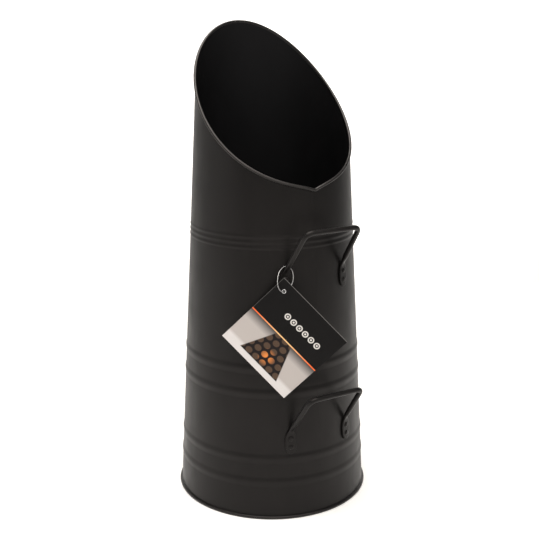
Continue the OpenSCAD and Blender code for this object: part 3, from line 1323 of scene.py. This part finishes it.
    def build(self, frame: dict[str, Any]) -> None:
        """Makes the barrel's pieces and lets them ride.

        Args:
            frame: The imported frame.
        """
        for made, node in ((self.shell(), "barrel"), (self.lap(), "barrel"), (self.roll(), "mouth_roll")):
            finish_piece(made, Body.HOD, Slot.STEEL, node)
        paint_node(frame["nodes"]["mouth_wire"], self.finishes.wire)


@dataclass
class BasePan:
    """The raised base disc with its skirt and the hem folded round the barrel's foot."""

    wall: Wall
    finishes: Finishes
    columns: int = 240
    rise: float = 6.0 * MM
    gap: float = 0.15 * MM
    edge: float = 0.3 * MM
    foot_edge_w: float = 0.2 * MM
    foot_edge_h: float = 0.15 * MM
    flat_margin: float = 0.96 * MM
    corner_angles: tuple[float, ...] = (0.0, 0.5, 1.0, math.pi / 2)
    hem_h: float = 3.4 * MM
    hem_out: float = 2.15 * MM
    hem_overlap: float = 0.1 * MM
    lip: float = 0.5 * MM
    lip_drop: float = 0.12 * MM
    nose: float = 1.55 * MM
    nose_from: float = math.radians(-90)
    nose_to: float = math.radians(52)
    nose_steps: int = 14

    def outline(self) -> list[Triple]:
        """The pan's outline from the centre below, round the hem and back to the centre above.

        Returns:
            Points as the shell tree reads them.
        """
        sheet = self.wall.sheet
        top = self.rise + sheet
        skirt = self.wall.radius(top) - sheet - self.gap
        inner = skirt - sheet
        out = self.wall.base_r + self.hem_out
        near = self.wall.radius(self.hem_h) - self.hem_overlap
        corner, corner_z = inner - sheet, self.rise - sheet
        line = [(0.0, self.rise), (skirt / 2, self.rise), (corner - self.flat_margin, self.rise)]
        for a in self.corner_angles:
            line.append((corner + sheet * math.sin(a), corner_z + sheet * math.cos(a)))
        line += [(inner, self.rise / 2), (inner, self.foot_edge_h), (inner + self.foot_edge_w, 0.0)]
        for i in range(self.nose_steps + 1):
            a = blend(self.nose_from, self.nose_to, i / self.nose_steps)
            line.append((out - self.nose + self.nose * math.cos(a), self.hem_h / 2 * (1 + math.sin(a))))
        line += [(near + self.lip, self.hem_h - self.lip_drop), (near, self.hem_h), (near, sheet)]
        line += [(skirt, sheet), (skirt, top - self.edge), (skirt - self.edge, top)]
        line += [(skirt / 2, top), (0.0, top)]
        return [(radius, 0.0, z) for radius, z in line]

    def build(self) -> None:
        """Makes the pan and lets it ride."""
        rows = self.outline()
        values = {
            **ShellTree.whole_ring, **self.wall.rule_inputs(), "Base Radius": 0.0, "Taper": 0.0,
            "Columns": self.columns + 1, "Rows": len(rows), "Inner From": 2.0,
            "Outside": self.finishes.hem.material(), "Inside": self.finishes.inside.material(),
        }
        made = ShellTree().run("base_pan_and_hem", mesh_from("pan_profile", rows), values)
        finish_piece(made, Body.HOD, Slot.STEEL, "base_pan")


@dataclass
class Handle:
    """One rod handle: two flattened feet, two legs and a crossbar.

    A foot's tip is round over a share of the foot's width. Its section is an ellipse where
    foot_square is 1 and comes close to a rectangle near 0.
    """

    name: str
    node: str
    wall: Wall
    finishes: Finishes
    bend_z: float
    rod_r: float = 2.7 * MM
    foot_spread: float = 69.5 * MM
    foot_len: float = 25.0 * MM
    foot_w: float = 12.4 * MM
    foot_t: float = 2.0 * MM
    foot_bend: float = 6.0 * MM
    foot_tip: float = 0.85
    foot_square: float = 0.42
    tip_thin: float = 0.35
    gap: float = 0.15 * MM
    width: float = 63.5 * MM
    reach: float = 31.7 * MM
    rise: float = 43.2 * MM
    bend_l: float = 9.0 * MM
    turn: float = math.radians(1.4)
    sides: int = 28
    foot_steps: int = 22
    first_share: float = 0.004
    first_step: float = 0.02 * MM
    bend_steps: int = 14
    bar_steps: int = 3
    above_bend: tuple[float, ...] = (1.2 * MM, 2.6 * MM, 4.2 * MM, 6.0 * MM)
    crisp: float = math.radians(50)
    rivet_drop: float = 8.4 * MM
    rivet_pitch: float = 9.2 * MM
    rivets: int = 2

    @property
    def foot_n(self) -> float:
        """Distance of the foot's middle plane from the wall."""
        return self.gap + self.foot_t / 2

    @property
    def foot_angle(self) -> float:
        """Angle round the barrel of each foot."""
        middle = self.wall.radius(self.bend_z - self.foot_len / 2) + self.foot_n
        return math.asin(self.foot_spread / 2 / middle)

    def half_width(self, s: float) -> float:
        """Half the width of the flattened rod.

        Args:
            s: Distance from the foot's tip.

        Returns:
            Half the width: a rounded tip, then a slow narrowing to the rod.
        """
        tip = self.foot_w * self.foot_tip
        if s < tip:
            return self.foot_w / 2 * math.sqrt(max(0.0, 1 - (1 - s / tip) ** 2))
        share = min(1.0, (s - tip) / (self.foot_len - tip))
        return blend(self.rod_r, self.foot_w / 2, 1 - share**3)

    def flatness(self, s: float) -> float:
        """1 on the flat foot, 0 on the round rod, easing between them."""
        return eased(1 - (s - self.foot_len + self.foot_bend / 2) / (2 * self.foot_bend))

    def section(self, s: float) -> list[tuple[float, float]]:
        """The rod's section.

        Args:
            s: Distance from the foot's tip.

        Returns:
            Points across and through the rod.
        """
        flat, half, thick = self.flatness(s), self.half_width(s), self.foot_t / 2
        thick *= blend(self.tip_thin, 1.0, min(1.0, half / thick))
        ring = []
        for j in range(self.sides):
            a = TURN * j / self.sides
            c, d = math.cos(a), math.sin(a)
            across = half * math.copysign(abs(c) ** self.foot_square, c)
            through = thick * math.copysign(abs(d) ** self.foot_square, d)
            ring.append((blend(self.rod_r * c, across, flat), blend(self.rod_r * d, through, flat)))
        return ring

    def corners(self) -> tuple[Vector, Vector, Vector, Vector]:
        """The corners of the right half's path.

        Returns:
            The tip, the bend at the wall, the upper corner and the crossbar's middle.
        """
        tip = self.wall.point(self.foot_angle, self.bend_z, 0, -self.foot_len, self.foot_n)
        knee = self.wall.point(self.foot_angle, self.bend_z, 0, 0, self.foot_n)
        corner = Vector((self.width / 2, knee.y - self.reach, knee.z + self.rise))
        return tip, knee, corner, Vector((0, corner.y, corner.z))

    @staticmethod
    def soft_bend(a: Vector, b: Vector, c: Vector, length: float, steps: int) -> list[Vector]:
        """A soft bend at b that takes a length from each run."""
        p, q = b + (a - b).normalized() * length, b + (c - b).normalized() * length
        return [blend(blend(p, b, i / steps), blend(b, q, i / steps), i / steps) for i in range(steps + 1)]

    def path(self) -> list[Vector]:
        """The rod's centre line along its right half.

        Returns:
            Points from the foot's tip to the crossbar's middle, closer together at the tip.
        """
        tip, knee, corner, middle = self.corners()
        straight = 1 - self.foot_bend / self.foot_len
        leg = (corner - knee).normalized()
        run = []
        for i in range(self.foot_steps):
            share = max(self.first_share, 1 - math.cos(math.pi / 2 * i / self.foot_steps))
            run.append(blend(tip, knee, share * straight))
        run += self.soft_bend(tip, knee, corner, self.foot_bend, self.bend_steps)
        run += [knee + leg * (self.foot_bend + above) for above in self.above_bend]
        run += self.soft_bend(knee, corner, middle, self.bend_l, self.bend_steps)
        run += [blend(run[-1], middle, (i + 1) / self.bar_steps) for i in range(self.bar_steps)]
        return run

    def mesh(self) -> bpy.types.Mesh:
        """The whole rod, its left half mirrored from the right one.

        Returns:
            The mesh, dressed and shaded.
        """
        path = self.path()
        last = len(path) - 1
        across = Matrix.Rotation(self.foot_angle, 3, "Z") @ Vector((1, 0, 0))
        start = (path[0] - self.corners()[0]).length
        half, travelled = [], 0.0
        for i, here in enumerate(path):
            ahead = here if i == last else path[i + 1]
            way = (ahead - path[max(i - 1, 0)]).normalized()
            across = (across - way * across.dot(way)).normalized()
            up = way.cross(across)
            if i:
                travelled += (here - path[i - 1]).length
            ring = self.section(max(travelled, self.first_step) + start)
            half.append([here + across * x + up * y for x, y in ring])
        far = [[Vector((-p.x, p.y, p.z)) for p in ring] for ring in reversed(half[:-1])]
        points, faces = loft(half + far, closed=False)
        turn = Matrix.Rotation(self.turn, 3, "Z")
        mesh = mesh_from(self.name, [turn @ p for p in points], faces)
        mesh.materials.append(self.finishes.rod.material())
        smooth_between(mesh, self.crisp)
        return mesh

    def rivet_seats(self) -> list[tuple[Vector, Vector]]:
        """Where the rivets enter the wall.

        Returns:
            The place of each rivet and the way that it faces, foot by foot.
        """
        seats = []
        for side in Side:
            angle = side.value * self.foot_angle + self.turn
            for i in range(self.rivets):
                drop = self.rivet_drop + i * self.rivet_pitch
                seats.append((self.wall.point(angle, self.bend_z, 0, -drop, 0), self.wall.outward(angle)))
        return seats

    def build(self) -> None:
        """Makes the handle and lets it ride."""
        finish_piece(piece_from(self.name, self.mesh()), Body.HOD, Slot.STEEL, self.node)


@dataclass
class Rivets:
    """The rivets of both handles.

    The tail's form is given in shares of the head's radius and of the tail's height, from the
    axis out to the shank.
    """

    handles: tuple[Handle, ...]
    finishes: Finishes
    shank_r: float = 1.5 * MM
    head_r: float = 2.6 * MM
    head_h: float = 1.1 * MM
    head_edge: float = 0.08 * MM
    head_foot: float = 0.97
    head_round: float = 0.8
    tail_h: float = 0.7
    tail_form: tuple[tuple[float, float], ...] = (
        (0.0, 1.0), (0.6, 1.0), (0.84, 0.85), (0.9, 0.5), (0.88, 0.1)
    )
    sides: int = 28
    dome_steps: int = 8
    seed: int = 7
    uneven: float = 0.03

    def form(self) -> bpy.types.Object:
        """One rivet on Z: a closed head inside the wall, a shank and a dome outside the foot.

        Returns:
            The rivet, its shank through the origin.
        """
        handle = self.handles[0]
        low = -handle.wall.sheet - handle.gap
        seat = handle.foot_t + 2 * handle.gap
        tail = self.head_h * self.tail_h
        line = [(self.head_r * radius, low - tail * depth) for radius, depth in self.tail_form]
        line += [(self.shank_r, low), (self.shank_r, seat), (self.head_r * self.head_foot, seat)]
        for i in range(self.dome_steps):
            a = math.pi / 2 * i / self.dome_steps
            rise = self.head_edge + (self.head_h - self.head_edge) * math.sin(a)
            line.append((self.head_r * math.cos(a) ** self.head_round, seat + rise))
        line.append((0.0, seat + self.head_h))
        points, faces = turned(line, self.sides)
        return piece_from("rivet_form", mesh_from("rivet_form", points, faces))

    def build(self) -> None:
        """Sets every rivet and lets them ride together."""
        seats = [seat for handle in self.handles for seat in handle.rivet_seats()]
        base = mesh_from("rivet_seats", [place for place, _ in seats])
        facing = base.attributes.new("facing", "FLOAT_VECTOR", "POINT")
        facing.data.foreach_set("vector", [c for _, way in seats for c in way])
        form = self.form()
        material = self.finishes.rod.material()
        values = {"Rivet": form, "Seed": self.seed, "Uneven": self.uneven, "Material": material}
        made = RivetTree().run("handle_rivets", base, values)
        bpy.data.objects.remove(form)
        nodes = [f"{h.node.split('_')[0]}_{side.name.lower()}_rivets" for h in self.handles for side in Side]
        finish_piece(made, Body.HOD, Slot.STEEL, *nodes)


@dataclass(frozen=True)
class Hinge:
    """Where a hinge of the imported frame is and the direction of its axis."""

    place: Vector
    axis: Vector

    @classmethod
    def named(cls, frame: dict[str, Any], name: str) -> Hinge:
        """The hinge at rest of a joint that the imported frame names."""
        joint = next(j for j in frame["joints"] if j["name"] == name)
        return cls(Vector(joint["pos_m"]), Vector(joint["axis"]).normalized())


@dataclass
class Tag:
    """The card tag, its eyelet and the silver loop that hangs it from the upper handle's left leg.

    The loop swings on the first hinge, behind the leg. The card sways on the second, which goes
    through its hole and points outwards. The card's points lie on rays from the hole, at shares
    of the way to its edge. The loop's points gather at the eyelet, where it bends most.
    """

    swing: Hinge
    sway: Hinge
    finishes: Finishes
    side: float = 89.5 * MM
    thick: float = 0.5 * MM
    inset: float = 14.0 * MM
    bow: float = 0.2 * MM
    bow_at: float = 0.7
    edge_round: float = 0.55
    rays_round: int = 96
    fewest_rays: int = 3
    ring_shares: tuple[float, ...] = (0.0, 0.02, 0.06, 0.14, 0.28, 0.46, 0.64, 0.82, 0.97, 0.993, 1.0)
    crisp: float = math.radians(25)
    loop_w: float = 17.0 * MM
    loop_steps: int = 220
    wire_r: float = 0.4 * MM
    wire_sides: int = 12
    gather: float = math.radians(20)
    through: float = 1.325 * MM
    through_soft: float = 0.5 * MM
    belly: float = 6.5 * MM
    bore_r: float = 1.35 * MM
    flange_r: float = 2.15 * MM
    flange_roll: float = 0.4 * MM
    eyelet_t: float = 0.3 * MM
    eyelet_gap: float = 0.075 * MM
    bore_edge_w: float = 0.12 * MM
    bore_edge_h: float = 0.10 * MM
    tuck: float = 0.02 * MM
    eyelet_sides: int = 48
    roll_steps: int = 8
    hole_gap: float = 0.08 * MM
    eyelet_crisp: float = math.radians(60)

    @property
    def frame(self) -> Matrix:
        """The card's own frame at its hole.

        Returns:
            A matrix with X along the card, Y up it and Z outwards.
        """
        up = Vector((0, 0, 1))
        along = up.cross(self.sway.axis)
        turn = Matrix((along, up, self.sway.axis)).transposed().to_4x4()
        return Matrix.Translation(self.sway.place) @ turn

    def reach(self, way: Vector) -> float:
        """Distance from the hole to the card's edge.

        Args:
            way: A direction in the card's plane.

        Returns:
            The distance to the nearest of the four sides ahead.
        """
        centre = Vector((0, self.inset - self.side / math.sqrt(2)))
        best = math.inf
        for corner in ((1, 1), (1, -1), (-1, 1), (-1, -1)):
            normal = Vector(corner).normalized()
            towards = normal.dot(way)
            if towards > TINY:
                best = min(best, (self.side / 2 + normal.dot(centre)) / towards)
        return best

    def rays(self) -> list[float]:
        """Directions from the hole to the card's edge.

        Returns:
            Rising angles, with one at each corner.
        """
        half = self.side / math.sqrt(2)
        middle = self.inset - half
        corners = [(0, self.inset), (half, middle), (0, middle - half), (-half, middle)]
        marks = sorted(math.atan2(y, x) % TURN for x, y in corners)
        rays = []
        for a, b in zip(marks, marks[1:] + [marks[0] + TURN]):
            steps = max(self.fewest_rays, round((b - a) / TURN * self.rays_round))
            rays += [a + (b - a) * i / steps for i in range(steps)]
        return rays

    def curl(self, x: float) -> float:
        """The slight bow of the card away from its middle."""
        return -self.bow * (x / (self.side * self.bow_at)) ** 2

    def print_place(self, x: float, y: float) -> tuple[float, float]:
        """Where a point of the card lies on its print, from the foot of the print's left side."""
        across, along = x / math.sqrt(2) / self.side, (y - self.inset) / math.sqrt(2) / self.side
        return across - along, 1 + across + along

    def card(self) -> bpy.types.Object:
        """The card with its hole, printed on the front.

        Returns:
            The card.
        """
        rays, shares = self.rays(), self.ring_shares
        hole = self.bore_r + self.eyelet_t + self.hole_gap
        levels = [(s, self.thick / 2) for s in shares] + [(s, -self.thick / 2) for s in reversed(shares)]
        points, places = [], []
        for share, n in levels:
            height = n * self.edge_round if share == shares[-1] else n
            for a in rays:
                way = Vector((math.cos(a), math.sin(a)))
                x, y = way * blend(hole, self.reach(way), share)
                points.append(self.frame @ Vector((x, y, height + self.curl(x))))
                places.append(self.print_place(x, y))
        mesh = mesh_from("card", points, skin(len(levels), len(rays), closed=True, flipped=True))
        layer = mesh.uv_layers.new(name="UVMap")
        for loop in mesh.loops:
            layer.data[loop.index].uv = places[loop.vertex_index]
        mesh.materials.append(self.finishes.print_.material())
        mesh.materials.append(self.finishes.stock.material())
        front_rings = len(shares) - 1
        for face in mesh.polygons:
            face.material_index = 0 if face.index // len(rays) < front_rings else 1
        smooth_between(mesh, self.crisp)
        return piece_from("tag_sheet", mesh)

    def eyelet(self) -> bpy.types.Object:
        """The metal eyelet, its flanges rolled over on both faces of the card.

        Returns:
            The eyelet.
        """
        edge = self.thick / 2 + self.eyelet_gap
        half_t = self.eyelet_t / 2
        bore_z = edge - self.bore_edge_h
        upper = [(self.bore_r + self.bore_edge_w, edge + self.eyelet_t)]
        for i in range(self.roll_steps + 1):
            a = math.pi * i / self.roll_steps
            radius = self.flange_r - self.flange_roll + self.flange_roll * math.sin(a)
            upper.append((radius, edge + half_t + half_t * math.cos(a)))
        upper.append((self.bore_r + self.eyelet_t, edge - self.tuck))
        lower = [(r, -n) for r, n in reversed(upper)]
        line = upper + lower + [(self.bore_r, -bore_z), (self.bore_r, bore_z)]
        rings = []
        for j in range(self.eyelet_sides):
            a = TURN * j / self.eyelet_sides
            rings.append([self.frame @ Vector((r * math.cos(a), r * math.sin(a), n)) for r, n in line])
        mesh = mesh_from("eyelet", *loft(rings, closed=True))
        mesh.materials.append(self.finishes.eyelet.material())
        smooth_between(mesh, self.eyelet_crisp)
        return piece_from("tag_grommet", mesh)

    def loop_points(self) -> list[Vector]:
        """The loop's centre line.

        Returns:
            Points from the eyelet up in front of the card to the leg, and down behind the card.
        """
        leg_angle = math.atan2(-self.swing.place.x, -self.swing.place.y)
        back = Matrix.Rotation(leg_angle, 3, "Z")
        foot, head = back @ self.sway.place, back @ self.swing.place
        points = []
        for i in range(self.loop_steps):
            a = TURN * i / self.loop_steps
            a -= self.gather * math.sin(a)
            side = -self.loop_w / 2 * math.sin(a)
            lift = self.through * -side / math.hypot(side, self.through_soft)
            lift += max(0.0, self.belly * math.sin(a))
            centre = blend(foot, head, (1 - math.cos(a)) / 2)
            points.append(back.inverted() @ (centre + Vector((side, -abs(math.cos(a / 2)) * lift, 0))))
        return points

    def loop(self) -> bpy.types.Object:
        """The silver wire loop.

        Returns:
            The loop.
        """
        points = self.loop_points()
        path = mesh_from("loop_path", points, edges=[(i, (i + 1) % len(points)) for i in range(len(points))])
        material = self.finishes.silver.material()
        values = {"Sides": self.wire_sides, "Wire Radius": self.wire_r, "Material": material}
        return WireTree().run("silver_loop", path, values)

    def build(self) -> None:
        """Makes the tag's pieces and lets them ride."""
        finish_piece(self.card(), Body.TAG, Slot.CARD, "tag_card")
        finish_piece(self.eyelet(), Body.TAG, Slot.EYELET, "tag_eyelet")
        finish_piece(self.loop(), Body.LOOP, Slot.WIRE, "tag_loop")


# Studio


@dataclass(frozen=True)
class PaleFloor(Finish):
    """The studio's white floor and backdrop, which glow under the hod, behind it and at its left.

    Behind, beside and near are strengths. Angles are counted from the camera's side.
    """

    heading: float
    name: str = "pale_floor"
    white: Triple = (0.93, 0.93, 0.93)
    off_white: Triple = (0.90, 0.90, 0.90)
    cloud: Noise = Noise(3.0, 2.0)
    gloss: float = 0.9
    specular: float = 0.1
    behind: float = 0.75
    behind_from: float = math.radians(148.0)
    behind_to: float = math.radians(164.0)
    beside: float = 0.36
    beside_at: float = math.radians(-66.0)
    beside_half: float = math.radians(14.0)
    beside_soft: float = math.radians(24.0)
    near: float = 0.2
    near_r: float = 0.2
    near_end: float = 1.6
    plain_r: float = 0.5
    glow_r: float = 1.2
    warmth: Triple = (1.0, 0.965, 0.93)

    def glow(self, graph: ShaderGraph) -> Output:
        """Strength of the glow, from the place on the sweep.

        Args:
            graph: The material's tree.

        Returns:
            The strength.
        """
        place = graph.result("ShaderNodeTexCoord", output="Object")
        seen = graph.result("ShaderNodeMapping", {"Vector": place, "Rotation": (0.0, 0.0, self.heading)})
        x, y, _ = graph.split(seen)
        around = graph.math("ARCTAN2", x, y * -1.0)
        behind = graph.spread(abs(around), 0.0, self.behind, self.behind_from, self.behind_to)
        left = graph.band(around, self.beside_at, self.beside_half, self.beside_soft)
        away = graph.length(x, y)
        far = (behind + left * self.beside) * graph.spread(away, 0.0, 1.0, self.plain_r, self.glow_r)
        return far + graph.spread(away, self.near, 0.0, self.near_r, self.near_end)

    def shader_inputs(self, graph: ShaderGraph) -> dict[str, Any]:
        """Matte white with the faintest mottle.

        Args:
            graph: The material's tree.

        Returns:
            Values and outputs by the names of the shader's inputs.
        """
        return {
            "Base Color": graph.tint(graph.noise(self.cloud), self.white, self.off_white),
            "Roughness": self.gloss,
            "Specular IOR Level": self.specular,
            "Emission Color": (*self.warmth, 1.0),
            "Emission Strength": self.glow(graph),
        }


@dataclass(frozen=True)
class Lamp:
    """A soft box: x of its place is to the camera's right, y away from the camera."""

    name: str
    place: Triple
    width: float
    height: float
    watts: float


@dataclass(frozen=True)
class Studio:
    """The pale floor, the soft lights and the camera at the photograph's viewing angle."""

    eye: Triple = (-0.50138, -0.85800, 0.49856)
    heading: float = math.radians(30.1935)
    pitch: float = 0.25154
    roll: float = -0.00244
    lens: float = 62.71
    sensor: float = 36.0
    flat_r: float = 1.1
    flat_rings: int = 6
    sweep_r: float = 1.5
    sweep_rings: int = 12
    wall_top: float = 2.2
    floor_sides: int = 96
    open_from: float = math.radians(-55.0)
    open_to: float = math.radians(128.0)
    open_soft: float = math.radians(25.0)
    ambient: float = 0.24
    lamps: tuple[Lamp, ...] = (
        Lamp("top_box", (-0.1, -0.1, 1.6), 1.4, 1.2, 29.0),
        Lamp("front_box", (0.5, -1.45, 1.4), 3.4, 1.5, 24.0),
    )
    lamp_warmth: Triple = (1.0, 0.95, 0.885)
    lamp_aim: Triple = (0.0, 0.0, 0.22)

    @property
    def turn(self) -> Matrix:
        """Turns the camera's directions into the hod's frame."""
        return Matrix.Rotation(-self.heading, 3, "Z")

    def camera(self) -> None:
        """Makes the camera and gives it to the scene."""
        data = bpy.data.cameras.new("camera")
        data.sensor_width = self.sensor
        data.sensor_fit = "HORIZONTAL"
        data.lens = self.lens
        ahead = self.turn @ Vector((0, math.cos(self.pitch), -math.sin(self.pitch)))
        level_up = self.turn @ Vector((0, math.sin(self.pitch), math.cos(self.pitch)))
        level_right = self.turn @ Vector((1, 0, 0))
        right = level_right * math.cos(self.roll) + level_up * math.sin(self.roll)
        up = level_up * math.cos(self.roll) - level_right * math.sin(self.roll)
        pose = Matrix((right, up, -ahead)).transposed().to_4x4()
        pose.translation = self.eye
        made = bpy.data.objects.new("camera", data)
        made.matrix_world = pose
        bpy.context.scene.collection.objects.link(made)
        bpy.context.scene.camera = made

    def closed(self, around: float) -> float:
        """1 where the backdrop stands, 0 where the studio is open, at an angle from the camera."""
        return eased(0.5 - min(around - self.open_from, self.open_to - around) / self.open_soft)

    def floor_line(self) -> list[tuple[float, float]]:
        """The floor's outline from its middle out and up.

        Returns:
            Points of (radius, height).
        """
        line = [(self.flat_r * i / self.flat_rings, 0.0) for i in range(self.flat_rings + 1)]
        for i in range(1, self.sweep_rings + 1):
            a = math.pi / 2 * i / self.sweep_rings
            line.append((self.flat_r + self.sweep_r * math.sin(a), self.sweep_r * (1 - math.cos(a))))
        return line + [(self.flat_r + self.sweep_r, self.wall_top)]

    def floor(self) -> None:
        """A round white floor that sweeps up into a wall behind the hod and at its left."""
        line, sides = self.floor_line(), self.floor_sides
        points = [Vector((0, 0, 0))]
        for r, z in line[1:]:
            for a in (TURN * j / sides - math.pi for j in range(sides)):
                points.append(self.turn @ Vector((r * math.sin(a), -r * math.cos(a), z * self.closed(a))))
        faces = [(0, 1 + j, 1 + (j + 1) % sides) for j in range(sides)]
        faces += skin(len(line) - 1, sides, first=1, flipped=True)
        mesh = mesh_from("studio_floor", points, faces)
        mesh.materials.append(PaleFloor(self.heading).material())
        mesh.polygons.foreach_set("use_smooth", [True] * len(mesh.polygons))
        piece_from("studio_floor", mesh)

    def hang(self, lamp: Lamp) -> None:
        """Adds a soft box that faces the hod.

        Args:
            lamp: Its settings.
        """
        data = bpy.data.lights.new(lamp.name, "AREA")
        data.shape = "RECTANGLE"
        data.size = lamp.width
        data.size_y = lamp.height
        data.energy = lamp.watts
        data.color = self.lamp_warmth
        made = bpy.data.objects.new(lamp.name, data)
        made.location = self.turn @ Vector(lamp.place)
        made.rotation_euler = (Vector(self.lamp_aim) - made.location).to_track_quat("-Z", "Y").to_euler()
        bpy.context.scene.collection.objects.link(made)

    def build(self) -> None:
        """Sets up the world, lights, floor and camera."""
        world = bpy.data.worlds.new("studio")
        world.use_nodes = True
        background = world.node_tree.nodes["Background"]
        background.inputs["Color"].default_value = (1.0, 1.0, 1.0, 1.0)
        background.inputs["Strength"].default_value = self.ambient
        bpy.context.scene.world = world
        bpy.context.scene.view_settings.view_transform = "Standard"
        self.floor()
        for lamp in self.lamps:
            self.hang(lamp)
        self.camera()


# Putting it together


def finish_piece(made: bpy.types.Object, body: Body, slot: Slot, *nodes: str) -> None:
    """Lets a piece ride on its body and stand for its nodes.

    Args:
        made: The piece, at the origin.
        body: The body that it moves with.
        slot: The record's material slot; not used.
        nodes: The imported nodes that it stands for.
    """
    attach(made, body.value)
    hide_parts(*nodes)
    triangles = sum(len(face.vertices) - 2 for face in made.data.polygons)
    log.info(
        "%s: %d triangles, rides on %s, stands for %s", made.name, triangles, body.value, ", ".join(nodes)
    )


def paint_node(node: bpy.types.Object, finish: Finish) -> None:
    """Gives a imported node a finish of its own.

    Args:
        node: The node's object.
        finish: Its finish.
    """
    if not node.material_slots:
        node.data.materials.append(finish.material())
    for slot in node.material_slots:
        slot.link = "OBJECT"
        slot.material = finish.material()
    log.info("%s: kept from the frame, painted %s", node.name, finish.name)


def main() -> None:
    """Builds the hod, piece by piece, and the studio round it."""
    logging.basicConfig(level=logging.INFO, format="%(name)s: %(message)s")
    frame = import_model()
    wall, finishes = Wall(), Finishes()
    Barrel(wall, finishes).build(frame)
    BasePan(wall, finishes).build()
    upper = Handle("upper_grip_rod", "upper_handle", wall, finishes, bend_z=264.672 * MM)
    lower = Handle("lower_grip_rod", "lower_handle", wall, finishes, bend_z=97.0 * MM)
    for handle in (upper, lower):
        handle.build()
    Rivets((upper, lower), finishes).build()
    Tag(Hinge.named(frame, "ring_swing"), Hinge.named(frame, "tag_sway"), finishes).build()
    Studio().build()


if __name__ == "__main__":
    main()
